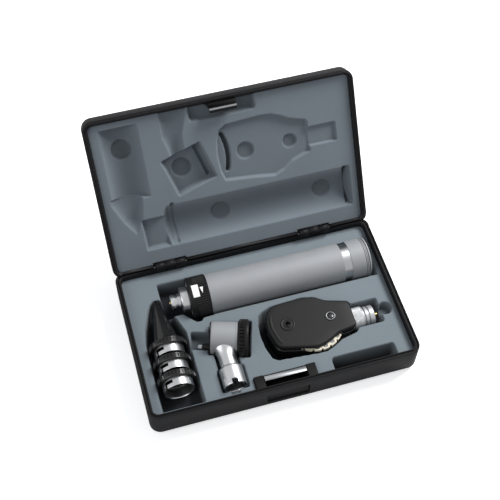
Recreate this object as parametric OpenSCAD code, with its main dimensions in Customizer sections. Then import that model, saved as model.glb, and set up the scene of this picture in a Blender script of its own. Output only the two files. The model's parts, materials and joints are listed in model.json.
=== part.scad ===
// Hinged hard carry case for an otoscope and an ophthalmoscope that share one battery handle.
// The lid stands open on its stop. Origin: centre of the underside, X along the long side,
// Y from the front wall to the hinge, Z up.

/* [Case] */
// Depth of the case, from the latch face to the hinge face
case_d = 121.6; // [120.2:0.2:144]
// Width of the rim face, from the outside of the wall to the tray
rim_w = 4.0; // [3.9:0.1:5]
// Wall of both shells below the rim band
shell_t = 2.4; // [1.8:0.1:2.6]
// Wall of the rim band that the tray edge sits against
rim_t = 3.7; // [3.3:0.1:3.8]
// Floor of the base shell
floor_t = 2.2; // [1.6:0.1:4]
// Top wall of the lid shell
lid_t = 1.2; // [1:0.1:3]
// Radius of the upright corners
corner_r = 8; // [6.5:0.5:12]
// Radius of the lower edges of the base
base_edge_r = 5; // [2:0.5:5.5]
// Radius of the outer edges of the lid
lid_edge_r = 3.5; // [1:0.5:4]
// Height of the rim band above the base tray ledge
band_h = 1.3; // [1:0.1:2]
// How far the tray ledge stands in from the rim band
ledge_w = 1.2; // [0.8:0.1:2]
// Depth of the sealing groove in the base rim
groove_h = 1.2; // [0.8:0.1:2]
// Width of the sealing groove
groove_w = 1.3; // [1.1:0.1:1.5]
// Distance of the sealing groove from the outside
groove_in = 1.2; // [1:0.1:1.4]

/* [Trays] */
// Sheet thickness of both trays
tray_t = 0.8; // [0.5:0.1:1.2]
// Depth of the base tray below the parting plane
base_tray_drop = 5.3; // [4.5:0.1:8]
// Depth of the lid tray above the parting plane
lid_tray_drop = 2.0; // [1.5:0.1:4]
// Gap between the lowest pocket and the floor
floor_gap = 1.0; // [0.4:0.1:3]
// Gap between the highest lid pocket and the lid
top_gap = 0.4; // [0.3:0.1:2]
// Seat gap between an instrument and its pocket
seat = 0.3; // [0.3:0.05:0.8]
// Gap beside the instruments in their pockets
side_gap = 1.5; // [1:0.1:2]
// Tray between the handle pocket and the hinge side
back_margin = 10.7; // [9:0.1:20]
// Tray from its left edge to the end of the handle spigot
side_lead = 31.5; // [31:0.1:45]
// Tray from the handle cap to its right edge
end_lead = 6.5; // [6:0.1:15]
// Free length of pocket past the handle cap
cap_room = 4.2; // [3.5:0.1:5]

/* [Hinge] */
// Height of the hinge axis above the parting plane
axis_up = 1.1; // [1:0.1:1.4]
// Distance of the hinge axis from the back face
axis_in = 2.5; // [2.4:0.1:2.9]
// Angle between the closed and the open lid
open_angle = 122; // [100:1:125]
// Distance of each hinge from the middle of the case
hinge_x = 56.3; // [40:0.5:70]
// Length of each hinge
hinge_l = 23.4; // [18:0.2:30]
// Length of the lid knuckle in the middle of each hinge
lid_knuckle_l = 7.6; // [5:0.2:12]
// Radius of the knuckles
knuckle_r = 2.3; // [2:0.05:2.35]
// Radius of the hinge pins
pin_r = 1.0; // [0.7:0.05:1.2]
// Radial clearance of a turning fit
run_fit = 0.05; // [0.02:0.01:0.08]

/* [Latch] */
// Width of the push plate
push_w = 31; // [24:0.5:36]
// Height of the push plate
push_h = 11; // [9:0.5:12]
// Height of the middle of the push plate
push_z = 12.5; // [12:0.1:12.8]
// Depth of the push plate behind the front face
push_sunk = 1.2; // [0.5:0.1:1.6]
// Travel of the latch
latch_travel = 1.2; // [0.8:0.1:1.5]
// Length of the metal strike strip
strip_l = 30.4; // [24:0.2:34]
// Depth of the metal strike strip
strip_d = 3.6; // [3:0.1:4.5]
// Width of each end block of the latch frame
block_w = 6.8; // [5:0.2:8]
// Outer radius of a latch spring
spring_r = 2.4; // [1.6:0.1:2.6]
// Length of the keeper on the lid
keeper_l = 19.8; // [14:0.2:26]

/* [Handle] */
// Radius of the handle tube
handle_r = 14.8; // [14.4:0.1:15.3]
// Wall of the handle tube
handle_wall = 1.3; // [1:0.05:1.5]
// Length of the handle tube
tube_l = 119.3; // [112:0.1:150]
// Length of the visible cap
cap_l = 4.3; // [3:0.1:8]
// Length of the rheostat ring
dial_l = 14.7; // [10:0.1:16]
// How far the rheostat ring stands proud of the tube
dial_proud = 0.6; // [0.2:0.1:0.8]
// Length of the neck with its spigot
neck_l = 13.7; // [12.5:0.1:14.5]
// Radius of the spigot that the heads lock on
spigot_r = 5.6; // [5:0.1:6]
// Length of the spigot
spigot_l = 7.4; // [6.4:0.1:9]
// Radius of the smooth neck between the spigot and the rheostat ring
neck_r = 9.6; // [8:0.1:10.6]
// Width of the polished band near the cap
band_w = 6.1; // [3:0.1:9]
// Distance of the polished band from the end of the tube
band_in = 10.8; // [6:0.1:20]
// Diameter of a battery
cell_d = 25.8; // [24:0.1:26.2]
// Length of a battery
cell_l = 49.3; // [45:0.1:50]
// Thread pitch of the cap
cap_pitch = 1.25; // [1:0.25:1.5]

/* [Specula] */
// Radius of the knurled ring of a speculum
spec_ring_r = 13.7; // [13.4:0.1:14]
// Length of the knurled ring of a speculum
spec_ring_l = 4.6; // [3.5:0.1:5.5]
// Outer radius of the chrome collar
spec_collar_r = 11; // [10.4:0.1:11.3]
// Visible length of the chrome collar
spec_collar_l = 6.0; // [5:0.1:7]
// Radius of the cone at its ring
spec_cone_r = 9.6; // [8.6:0.1:9.8]
// Radius of the cone at its tip
spec_tip_r = 2.0; // [1.8:0.1:2.6]
// Length of the cone
spec_cone_l = 37.5; // [33:0.1:39]
// Wall of a speculum
spec_wall = 0.8; // [0.6:0.05:1]
// Step from one nested speculum to the next
spec_pitch = 13.3; // [12.8:0.1:14]
// Distance of the specula from the left edge of the tray
spec_side = 21.3; // [20.5:0.1:23]
// Distance of the open end of the stack from the front edge of the tray
spec_front = 15.9; // [15:0.1:18]
// Depth of the specula axis below the tray
spec_sink = 1.7; // [1.4:0.1:1.9]

/* [Otoscope head] */
// Radius of the barrel
barrel_r = 12; // [11:0.1:12.4]
// Length of the barrel
barrel_l = 21.2; // [19:0.1:22.5]
// Wall of the barrel
barrel_wall = 1.2; // [0.8:0.1:2]
// Radius of the magnifier ring
mag_r = 14.1; // [13.2:0.1:14.4]
// Length of the magnifier ring
mag_l = 6.0; // [5:0.1:6.6]
// Turn of the barrel from the long side of the case
barrel_turn = -17; // [-19:1:-14]
// Distance of the barrel mouth from the left edge of the tray
barrel_side = 52.7; // [52:0.1:54]
// Distance of the barrel mouth from the front edge of the tray
barrel_front = 49.8; // [49:0.1:51]
// Depth of the head axis below the tray
head_sink = 0.5; // [0.2:0.1:0.9]
// Radius of the neck under the barrel
stem_r = 6.2; // [5.6:0.1:7]
// Radius of the socket that fits the spigot
socket_r = 8.5; // [7.6:0.1:8.8]
// Length of the socket
socket_l = 15.5; // [13:0.1:16]
// Length of the neck between the barrel axis and the socket
stem_l = 24.8; // [23.8:0.1:25.5]
// Length of the lamp stem
lamp_l = 9; // [6:0.1:10]

/* [Ophthalmoscope head] */
// Thickness of the head
view_t = 20; // [18:0.1:21]
// Height of its face above the tray
view_proud = 4.5; // [3.5:0.1:4.8]
// Distance of the lens wheel axis from the left edge of the tray
view_side = 127; // [126.6:0.1:130]
// Distance of the lens wheel axis from the front edge of the tray
view_front = 41.3; // [40.8:0.1:42]
// Radius of the lens wheel
wheel_r = 21.4; // [20.6:0.1:21.6]
// Thickness of the lens wheel
wheel_t = 2.2; // [1.6:0.1:2.6]
// Depth of the underside of the lens wheel below the face of the head
wheel_sink = 5.6; // [5.6:0.1:11]
// Number of teeth and of lenses on the wheel
wheel_n = 20; // [12:1:28]
// Radius of a lens opening
lens_r = 1.7; // [1.2:0.1:1.9]
// Radius of the neck collar
collar_r = 8.6; // [7.8:0.1:8.7]
// Length of the knurled neck collar
collar_l = 8.2; // [7:0.1:9]
// Length of the rings beyond the collar
collar_ring_l = 8.2; // [7:0.1:8.6]
// Radius of the viewing ring
eye_r = 4.6; // [3.6:0.1:5]
// Radius of the aperture dial
dial_r = 3.6; // [2.8:0.1:4.2]

/* [Hidden] */
$fn = 64;
eps = 0.01;
gap = 0.3;
lid_clear = 0.7;
rim_gap = 0.1;

// Heights, from the floor up through the rheostat ring, the thickest thing in the case
dial_ring_r = handle_r + dial_proud;
handle_rise = 0.2;
handle_z = floor_t + floor_gap + tray_t + side_gap + dial_ring_r;
tray_z = handle_z - handle_rise;
base_h = tray_z + base_tray_drop;
lid_tray_z = base_h + lid_tray_drop;
lid_pocket_z = handle_z + dial_ring_r + lid_clear;
lid_top_z = lid_pocket_z + tray_t + top_gap + lid_t;
lid_h = lid_top_z - base_h;
ledge_z = tray_z - tray_t;
pocket_floor_z = floor_t + floor_gap + tray_t;

// Plan sizes, from the handle outwards
ring_x0 = neck_l;
tube_x0 = ring_x0 + dial_l;
cap_x0 = tube_x0 + tube_l;
handle_l = cap_x0 + cap_l;
case_w = 2*rim_w + side_lead + handle_l + end_lead;
pocket_half = handle_r + 2.7;
front_row_d = case_d - 2*rim_w - back_margin - 2*pocket_half;
left = -case_w/2;
front = -case_d/2;
back = case_d/2;
tray_left = left + rim_w;
tray_front = front + rim_w;
tray_back = back - rim_w;
tray_right = -tray_left;
handle_x = tray_left + side_lead;
handle_y = tray_front + front_row_d + pocket_half;
handle_end_x = handle_x + handle_l;

// Hinge
axis_y = back - axis_in;
axis_z = base_h + axis_up;
half_turn = open_angle/2;
knuckle_gap = 0.3;
cut_r = knuckle_r + 0.35;
base_knuckle_l = (hinge_l - lid_knuckle_l)/2 - knuckle_gap;

// Latch, from the front wall backwards
push_x = 0.2;
flange_t = 1.0;
push_y = front + push_sunk;
flange_y = front + shell_t + gap;
flange_w = push_w + 4;
flange_h = push_h + 0.4;
strip_y = front + 9.2;
strip_t = 0.6;
strip_z = tray_z + 1.7;
bar_y = strip_y + 1.4;
bar_d = strip_d - 1.4;
strip_x = push_x + 0.5;
notch_w = strip_l + 2*block_w + 1.4;
notch_back_y = strip_y + strip_d + latch_travel + 0.9;
hook_t = 0.8;
hook_y = strip_y + 0.9;
spring_y0 = flange_y + flange_t;
spring_y1 = front + 18.6;
spring_l = spring_y1 - spring_y0 - latch_travel - gap;
spring_x = 9;
spring_z = 9;
stem_z0 = spring_z + spring_r + gap;

// Handle inside
tube_bore_r = handle_r - handle_wall;
core_r = tube_bore_r - 0.9;
cell_r = cell_d/2;
cell_x0 = tube_x0 + 4.8;
cap_plug_l = 3.2*cap_pitch;

// Specula
spec_x = tray_left + spec_side;
spec_y = tray_front + spec_front;
spec_z = tray_z - spec_sink;
spec_l = spec_collar_l + spec_ring_l + spec_cone_l;
cone_s0 = spec_collar_l + spec_ring_l;

// Otoscope head
head_x = tray_left + barrel_side;
head_y = tray_front + barrel_front;
head_z = tray_z - head_sink;
stem_at = 7.4;
stem_x = head_x + stem_at*cos(barrel_turn);
stem_y = head_y + stem_at*sin(barrel_turn);

// Ophthalmoscope head
view_x = tray_left + view_side;
view_y = tray_front + view_front;
view_z1 = tray_z + view_proud;
view_z0 = view_z1 - view_t;
wheel_y = -1.5;
axle_r = 2;
axle_in = 2;
wheel_z = view_z1 - wheel_sink;
light_x = 24;
light_room = 9;
view_neck_y = view_y - 1.7;
view_neck_z = tray_z - 7;
view_neck_x = view_x + 29.7;
eye_at = [-18.8, 1.6];
dial_at = [13, -0.1];
brow_w = 3;
lens_ring_r = norm([eye_at[0], eye_at[1] - wheel_y]);
eye_turn = atan2(eye_at[1] - wheel_y, eye_at[0]);
view_outline = [[-34, 0.6], [-31, -12], [-28.3, -15.1], [-3.3, -21.3], [2.8, -20], [9.1, -17.4],
  [14.5, -14.2], [27.9, -12.5], [29.7, -11.1], [29.7, 7.2], [28.8, 9.3], [13.2, 14],
  [6.5, 18.9], [-2.4, 20.9], [-24.8, 19.8], [-30.6, 15.8], [-33.3, 9.5]];

shell_black = [0.13, 0.13, 0.14];
tray_grey = [0.52, 0.56, 0.6];
part_black = [0.08, 0.08, 0.085];
satin = [0.72, 0.73, 0.75];
chrome = [0.85, 0.85, 0.87];
brass = [0.8, 0.66, 0.3];

// Direction of a plan vector
function unit2(v) = v/norm(v);

// An outline, listed anticlockwise, grown by g on every side
function grown(p, g) = [for (i = [0:len(p) - 1])
  let (a = p[(i + len(p) - 1)%len(p)], b = p[i], c = p[(i + 1)%len(p)],
    u = unit2(b - a), v = unit2(c - b), n = [u[1], -u[0]], m = [v[1], -v[0]])
  b + g*(n + m)/(1 + n*m)];

// Plate with upright rounded corners, centred in plan
module slab(w, d, z0, z1, r) {
  translate([0, 0, z0]) {
    translate([-w/2 + r, -d/2, 0]) cube([w - 2*r, d, z1 - z0]);
    translate([-w/2, -d/2 + r, 0]) cube([w, d - 2*r, z1 - z0]);
    for (sx = [-1, 1], sy = [-1, 1])
      translate([sx*(w/2 - r), sy*(d/2 - r), 0]) cylinder(r = r, h = z1 - z0);
  }
}

// Upright half section of a tub: width half, height h, lower corner rounded by e
module tub_profile(half, h, e) {
  translate([0, e]) square([half, h - e]);
  square([half - e, h]);
  translate([half - e, e]) intersection() {
    circle(r = e);
    translate([0, -e]) square([e, 2*e]);
  }
}

// Block with upright corners r and lower edges rounded by e
module tub(w, d, h, r, e) {
  translate([0, d/2 - r, 0]) rotate([90, 0, 0]) linear_extrude(d - 2*r) {
    tub_profile(w/2, h, e);
    mirror([1, 0]) tub_profile(w/2, h, e);
  }
  translate([-w/2 + r, 0, 0]) rotate([90, 0, 90]) linear_extrude(w - 2*r) {
    tub_profile(d/2, h, e);
    mirror([1, 0]) tub_profile(d/2, h, e);
  }
  for (sx = [-1, 1], sy = [-1, 1])
    translate([sx*(w/2 - r), sy*(d/2 - r), 0]) rotate_extrude() tub_profile(r, h, e);
}

// Round bar along X from x0 to x1
module bar_x(x0, x1, r) {
  translate([x0, 0, 0]) rotate([0, 90, 0]) cylinder(r = r, h = x1 - x0);
}

// Solid of revolution about X, profile as [distance along X, radius] points
module turned_x(p) {
  rotate([0, 90, 0]) rotate_extrude() polygon([for (q = p) [q[1], q[0]]]);
}

// Solid of revolution about Y, profile as [distance along Y, radius] points
module turned_y(p) {
  rotate([-90, 0, 0]) rotate_extrude() polygon([for (q = p) [q[1], q[0]]]);
}

// The piece inside, turned from the closed lid to the open lid
module opened() {
  translate([0, axis_y, axis_z]) rotate([-open_angle, 0, 0]) translate([0, -axis_y, -axis_z])
    children();
}

// Pieces placed in the frame of the handle, its axis along X from the spigot end
module at_handle() {
  translate([handle_x, handle_y, handle_z]) children();
}

// Pieces placed in the frame of the otoscope head, its barrel along X from the mouth
module at_head() {
  translate([head_x, head_y, head_z]) rotate([0, 0, barrel_turn]) children();
}

// Room behind the hinge axis that lets the walls fold together; side is -1 for the base, 1 for the lid
module back_bevel(side) {
  reach = axis_in + 3;
  rise = reach*tan(half_turn);
  z0 = axis_z + side*gap/2/cos(half_turn);
  translate([case_w/2 + 1, 0, 0]) rotate([90, 0, -90]) linear_extrude(case_w + 2)
    polygon([[-axis_y, z0], [-axis_y - reach, z0 + side*rise], [-axis_y - reach, z0 - side*reach],
      [-axis_y, z0 - side*reach]]);
}

// Middle and half length of the three knuckles of a hinge
function knuckle_span(s, k) = k == 0 ? [s*hinge_x, lid_knuckle_l/2]
  : [s*hinge_x + k*(hinge_l/2 - base_knuckle_l/2), base_knuckle_l/2];

// Room for the knuckles of the other half
module knuckle_room(ks) {
  for (s = [-1, 1], k = ks) {
    m = knuckle_span(s, k);
    translate([0, axis_y, axis_z])
      bar_x(m[0] - m[1] - knuckle_gap, m[0] + m[1] + knuckle_gap, cut_r);
  }
}

// Knuckles with their webs; side is -1 for the base, 1 for the lid
module knuckles(ks, side) {
  for (s = [-1, 1], k = ks) {
    m = knuckle_span(s, k);
    translate([0, axis_y, axis_z]) bar_x(m[0] - m[1], m[0] + m[1], knuckle_r);
    translate([m[0] - m[1], axis_y - knuckle_r, side < 0 ? axis_z - 4 : axis_z])
      cube([2*m[1], knuckle_r, 4]);
  }
}

// Bores for the hinge pins: a press fit in the base, a running fit in the lid
module pin_bores(fit) {
  for (s = [-1, 1])
    translate([0, axis_y, axis_z])
      bar_x(s*hinge_x - hinge_l/2 - 1, s*hinge_x + hinge_l/2 + 1, pin_r + fit);
}

// Hollow of the base: wide below, narrow at the ledge, rim band above
module base_hollow() {
  slab(case_w - 2*shell_t, case_d - 2*shell_t, floor_t, ledge_z - band_h, corner_r - shell_t);
  slab(case_w - 2*rim_t - 2*ledge_w, case_d - 2*rim_t - 2*ledge_w, floor_t, ledge_z,
    corner_r - rim_t - ledge_w);
  slab(case_w - 2*rim_t, case_d - 2*rim_t, ledge_z, base_h + 10, corner_r - rim_t);
}

module base_shell() color(shell_black) difference() {
  union() {
    difference() {
      tub(case_w, case_d, base_h, corner_r, base_edge_r);
      base_hollow();
      difference() {
        slab(case_w - 2*groove_in, case_d - 2*groove_in, base_h - groove_h, base_h + 1,
          corner_r - groove_in);
        slab(case_w - 2*groove_in - 2*groove_w, case_d - 2*groove_in - 2*groove_w, base_h - 2*groove_h,
          base_h + 2, corner_r - groove_in - groove_w);
      }
      back_bevel(-1);
      knuckle_room([0]);
    }
    knuckles([-1, 1], -1);
  }
  pin_bores(0);
  translate([push_x - push_w/2, front - 1, push_z - push_h/2]) cube([push_w, shell_t + 3, push_h]);
}

// Trough of the handle in the base tray: round below, flared to the tray face
module handle_trough(g) {
  r = handle_r + seat + g;
  half = pocket_half + g;
  at_handle() rotate([90, 0, 90]) translate([0, 0, ring_x0 - g])
    linear_extrude(handle_l - ring_x0 + cap_room + 2*g) {
      circle(r = r);
      polygon([[-r, -5], [r, -5], [half, -handle_rise], [half, 5], [-half, 5], [-half, -handle_rise]]);
    }
}

// Pocket round the spigot and the rheostat ring, as wide as the ring needs, with a step beside it
module spigot_pocket(g) {
  x0 = -6.7;
  x1 = ring_x0 + dial_l + 0.6;
  y1 = pocket_half + 1.1;
  p = [[x0, -11], [7, -11.2], [14.9, -19.7], [18.9, -19.8], [20.7, -17.6], [x1, -17.5],
    [x1, y1], [x0 + 2, y1], [x0, y1 - 2]];
  at_handle() translate([0, 0, pocket_floor_z - g - handle_z]) linear_extrude(40) polygon(grown(p, g));
}

// Pocket of the specula: straight beside the rings, tapered beside the cones
module specula_pocket(g) {
  w0 = spec_ring_r + 1.4;
  y0 = -spec_front + 2.8;
  p = [[-w0, y0 + 2.5], [-w0 + 2.5, y0], [w0 - 2, y0], [w0 + 0.5, y0 + 2.5], [w0 + 0.5, 43.4],
    [w0 - 4, 57], [9.6, 59], [4.2, 59], [4.2, 73], [1.7, 75.1], [-2.3, 75.1], [-5, 72.8],
    [-7.5, 67.9], [-10.9, 58.9], [-12.9, 53.2], [-w0, 41.9]];
  translate([spec_x, spec_y, spec_z - spec_ring_r - seat - g]) linear_extrude(40) polygon(grown(p, g));
}

// Pocket of the otoscope head: barrel, magnifier ring, lamp channel, neck and socket
module head_pocket(g) {
  b = barrel_r + 1.6 + g;
  m = mag_r + 0.7 + g;
  c = 7.2 + g;
  k = socket_r + side_gap + g;
  at_head() {
    translate([-1.6 - g, -b, -barrel_r - seat - g]) cube([barrel_l + 1.6 + 2*g, 2*b, 40]);
    translate([barrel_l - 2.4 - g, -m, -mag_r - seat - g]) cube([mag_l + 3.6 + 2*g, 2*m, 40]);
    translate([-15 - g, -c - 2.5, -8 - g]) cube([15.5 + 2*g, 2*c, 40]);
  }
  translate([stem_x - stem_r - 2.4 - g, stem_y - stem_l - 3, head_z - socket_r - seat - g])
    cube([2*stem_r + 4.8 + 2*g, stem_l - barrel_r + 5, 40]);
  translate([stem_x - k, stem_y - stem_l - socket_l - 1.5 - g, head_z - socket_r - seat - g])
    cube([2*k, socket_l + 2.5 + 2*g, 40]);
}

// Pocket of the ophthalmoscope head, its neck and the finger room beyond it
module viewer_pocket(g) {
  p = [[-39.5, 0.2], [-38.6, -10], [-36, -19], [-33, -21.4], [-24.8, -22.2], [-3.3, -23.9],
    [3.5, -23.9], [10, -21.3], [16.5, -17.6], [28.6, -15.1], [31.5, -12.4], [31.5, 8.4],
    [29.8, 11.1], [14.2, 15.9], [7.2, 20.9], [-1.9, 23], [-26, 22], [-33.4, 19.1],
    [-36.5, 16.9], [-38.6, 11]];
  translate([view_x, view_y, view_z0 - seat - g]) linear_extrude(40) polygon(grown(p, g));
  n = collar_r + side_gap + g;
  translate([view_neck_x, view_neck_y - n, view_neck_z - collar_r - seat - g])
    cube([collar_l + collar_ring_l + 5.4 + g, 2*n, 40]);
  translate([view_neck_x + collar_l + collar_ring_l + 9, view_neck_y, tray_z - 8 - g])
    cylinder(r = 5.2 + g, h = 40);
}

// Empty pocket at the front right, for spare lamps
spare_x0 = tray_right - 59;
spare_x1 = tray_right - 11.8;
spare_y1 = tray_front + 11.4;
module spare_pocket(g) {
  translate([spare_x0 - g, tray_front + 1.2 - g, pocket_floor_z - g])
    cube([spare_x1 - spare_x0 + 2*g, spare_y1 - tray_front - 1.2 + 2*g, 40]);
}

module base_pockets(g) {
  handle_trough(g);
  spigot_pocket(g);
  specula_pocket(g);
  head_pocket(g);
  viewer_pocket(g);
  spare_pocket(g);
}

module base_tray() color(tray_grey) difference() {
  union() {
    slab(case_w - 2*rim_t - 2*eps, case_d - 2*rim_t - 2*eps, ledge_z, tray_z, corner_r - rim_t);
    intersection() {
      base_pockets(tray_t);
      slab(case_w - 2*rim_w - 2, case_d - 2*rim_w - 2, floor_t + 0.2, tray_z, corner_r - rim_w);
    }
  }
  base_pockets(0);
  translate([strip_x - notch_w/2, front, 0]) cube([notch_w, notch_back_y - front, 2*base_h]);
}

module latch_frame() color(part_black) {
  wall_y = front + rim_t + gap;
  low_y = flange_y + flange_t + latch_travel + gap;
  back_y = notch_back_y - 0.4;
  for (s = [-1, 1]) {
    x = strip_x + s*(strip_l/2 + 0.4 + block_w/2) - block_w/2;
    translate([x, low_y, floor_t]) cube([block_w, back_y - low_y, strip_z - floor_t]);
    translate([x, wall_y, ledge_z]) cube([block_w, back_y - wall_y, strip_z - ledge_z]);
    translate([x, low_y, floor_t]) cube([block_w, spring_y1 + 1.2 - low_y, 9]);
  }
  translate([strip_x - strip_l/2 - 1, spring_y1, floor_t]) cube([strip_l + 2, 1.2, spring_z + 8 - floor_t]);
}

module hinge_pins() color(satin) for (s = [-1, 1])
  translate([0, axis_y, axis_z]) bar_x(s*hinge_x - hinge_l/2, s*hinge_x + hinge_l/2, pin_r);

module latch_push_plate() color(shell_black) {
  w = push_w - 2*gap;
  h = push_h - 2*gap;
  translate([push_x - w/2, push_y, push_z - h/2]) cube([w, flange_y + eps - push_y, h]);
  translate([push_x - flange_w/2, flange_y, push_z - flange_h/2]) cube([flange_w, flange_t, flange_h]);
}

module latch_bar() color(part_black) {
  translate([push_x - 10, flange_y + flange_t, stem_z0])
    cube([20, bar_y + bar_d - flange_y - flange_t, 2.6]);
  translate([strip_x - strip_l/2, bar_y, stem_z0]) cube([strip_l, bar_d, strip_z - stem_z0]);
}

module strike_strip() color(chrome)
  translate([strip_x - strip_l/2, strip_y, strip_z]) cube([strip_l, strip_d, strip_t]);

// The two springs that return the latch, as plain sleeves out of sight
module latch_springs() color(satin) for (s = [-1, 1])
  translate([push_x + s*spring_x, spring_y0, spring_z]) rotate([-90, 0, 0]) difference() {
    cylinder(r = spring_r, h = spring_l);
    translate([0, 0, -1]) cylinder(r = spring_r - 0.6, h = spring_l + 2);
  }

// Lid, drawn closed and then opened
module lid_hollow() {
  top = lid_top_z - lid_t;
  ledge = lid_tray_z + tray_t;
  slab(case_w - 2*shell_t, case_d - 2*shell_t, ledge + band_h, top, corner_r - shell_t);
  slab(case_w - 2*rim_t - 2*ledge_w, case_d - 2*rim_t - 2*ledge_w, ledge, top,
    corner_r - rim_t - ledge_w);
  slab(case_w - 2*rim_t, case_d - 2*rim_t, base_h - 10, ledge, corner_r - rim_t);
}

module lid_shell() color(shell_black) opened() difference() {
  union() {
    difference() {
      union() {
        translate([0, 0, lid_top_z]) mirror([0, 0, 1])
          tub(case_w, case_d, lid_h - rim_gap, corner_r, lid_edge_r);
        difference() {
          slab(case_w - 2*groove_in - 2*gap, case_d - 2*groove_in - 2*gap, base_h - groove_h + gap,
            base_h + 1, corner_r - groove_in - gap);
          slab(case_w - 2*(groove_in + groove_w - gap), case_d - 2*(groove_in + groove_w - gap),
            base_h - 5, base_h + 2, corner_r - groove_in - groove_w + gap);
          translate([-case_w, axis_y - 6, base_h - 10]) cube([2*case_w, 20, 10]);
        }
      }
      lid_hollow();
      back_bevel(1);
      knuckle_room([-1, 1]);
    }
    knuckles([0], 1);
  }
  pin_bores(run_fit);
}

// Pockets of the lid tray, over the instruments of the base
lid_half = pocket_half - 1.3;
lid_rise = lid_pocket_z - lid_tray_z;
lid_trough_r = (lid_half*lid_half + lid_rise*lid_rise)/(2*lid_rise);
lid_spec_r = spec_ring_r + 3.1;
lid_dimples = [52.7, 131.9];
dimple_r = 7.2;
module lid_pockets(g) {
  // handle trough with its two shallow dimples and end slot
  translate([0, handle_y + 0.6, lid_pocket_z - lid_trough_r]) {
    bar_x(handle_x + ring_x0 + 5 - g, handle_end_x + 1.5 + g, lid_trough_r + g);
    bar_x(handle_x + ring_x0 - 0.6 - g, handle_x + ring_x0 + 5.1 + g, lid_trough_r + 0.15 + g);
  }
  translate([handle_end_x - 4.5 - g, handle_y - 16 - g, lid_tray_z - 5])
    cube([5 + 2*g, 32 + 2*g, lid_rise + 5.2 + g]);
  for (x = lid_dimples)
    translate([handle_x + x, handle_y + 0.6, lid_tray_z - 5])
      cylinder(r = dimple_r + g, h = lid_rise + 5.15 + g);
  // room over the spigot
  translate([handle_x - 6.5 - g, handle_y - 9 - g, lid_tray_z - 5])
    cube([21 + 2*g, 25.4 + 2*g, 10 + g]);
  // specula channel and its taper over the cones
  translate([spec_x - 0.8, 0, spec_z]) {
    translate([0, spec_y - 11.4 - g, 0]) rotate([-90, 0, 0]) cylinder(r = lid_spec_r + g, h = 55 + g);
    translate([0, spec_y + 43.6 - g, 0]) rotate([-90, 0, 0])
      cylinder(r1 = lid_spec_r + g, r2 = lid_spec_r - 7 + g, h = 27 + 2*g);
  }
  translate([spec_x - 0.8, spec_y + 7, lid_tray_z - 5]) cylinder(r = 7.4 + g, h = 5 + lid_spec_r - 8 + g);
  // otoscope head, its magnifier slot, dimple and neck
  at_head() {
    translate([-2.6 - g, -barrel_r - 3.2 - g, lid_tray_z - head_z - 5])
      cube([barrel_l + 9.4 + 2*g, 2*barrel_r + 6.4 + 2*g, 10.2 + g]);
    translate([barrel_l - 0.8 - g, -mag_r - 1 - g, lid_tray_z - head_z - 5])
      cube([mag_l + 1.6 + 2*g, 2*mag_r + 2 + 2*g, 12.4 + g]);
    translate([9, -2, lid_tray_z - head_z - 5]) cylinder(r = dimple_r + g, h = 11.4 + g);
  }
  translate([stem_x - 0.9, stem_y - barrel_r, lid_tray_z - 2.2]) rotate([90, 0, 0])
    cylinder(r = stem_r + 1 + g, h = stem_y - barrel_r - tray_front);
  // ophthalmoscope head, its brow slot, dimples and neck
  p = [[-40, 0.2], [-39, -10], [-36.6, -19], [-31, -22.8], [-4.3, -24.2], [4, -23.4],
    [11.2, -20.5], [15.7, -17.8], [28.3, -13.9], [29.5, -12.4], [29.5, 10.6], [15.7, 15.5],
    [8.5, 20.9], [1.3, 24], [-14, 21.8], [-36.5, 19.5], [-39, 12]];
  translate([view_x, view_y, lid_tray_z - 5]) {
    linear_extrude(8.5 + g) polygon(grown(p, g));
    translate([-34.3 - g, -16.6 - g, 0]) cube([4.4 + 2*g, 29.4 + 2*g, 12.6 + g]);
    translate([-18.5, 0.7, 0]) cylinder(r = 6.4 + g, h = 9.8 + g);
    translate([15.3, 0.5, 0]) cylinder(r = 5.2 + g, h = 9.8 + g);
    translate([29, -8 - g, 0]) cube([21.6 + g, 15 + 2*g, 7.6 + g]);
  }
}

lid_notch_w = notch_w + 4;
module lid_notch(g) {
  translate([strip_x - lid_notch_w/2 - g, tray_front - 9, lid_tray_z - 5])
    cube([lid_notch_w + 2*g, 20.8 + g, 10.5 + g]);
}

module lid_tray() color(tray_grey) opened() difference() {
  union() {
    slab(case_w - 2*rim_t - 2*eps, case_d - 2*rim_t - 2*eps, lid_tray_z, lid_tray_z + tray_t,
      corner_r - rim_t);
    intersection() {
      union() {
        lid_pockets(tray_t);
        lid_notch(tray_t);
      }
      slab(case_w - 2*rim_w - 2, case_d - 2*rim_w - 2, lid_tray_z, lid_top_z - lid_t - 0.05,
        corner_r - rim_w);
    }
  }
  lid_pockets(0);
  intersection() {
    lid_notch(0);
    translate([-case_w, tray_front + 0.2 + tray_t, 0]) cube([2*case_w, case_d, 100]);
  }
  translate([strip_x - keeper_l/2 - 1.2, front, 0]) cube([keeper_l + 2.4, rim_w + 2 + tray_t, 60]);
  for (s = [-1, 1])
    translate([s*hinge_x - hinge_l/2 - 1, axis_y - knuckle_r - 0.5, lid_tray_z - 10])
      cube([hinge_l + 2, 20, 20]);
}

// Black block that carries the keeper on the front wall of the lid
module keeper_block() color(part_black) opened() {
  y1 = hook_y - 2.4 - hook_t;
  x = strip_x - keeper_l/2 - 0.6;
  w = keeper_l + 1.2;
  for (q = [[rim_t + 0.4, base_h - 1.5, 2], [rim_t, base_h + 0.5, lid_tray_drop + tray_t - 0.5],
      [rim_t + ledge_w, lid_tray_z + tray_t, 2.2]])
    translate([x, front + q[0], q[1]]) cube([w, y1 - front - q[0], q[2]]);
}

module keeper_plate() color(chrome) opened() {
  y0 = hook_y - 2.4 - hook_t;
  z0 = strip_z - 0.4 - hook_t;
  translate([strip_x - keeper_l/2, y0, z0]) cube([keeper_l, hook_t, base_h + 4 - z0]);
  translate([strip_x - keeper_l/2, y0, z0]) cube([keeper_l, hook_y - y0, hook_t]);
}

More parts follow.
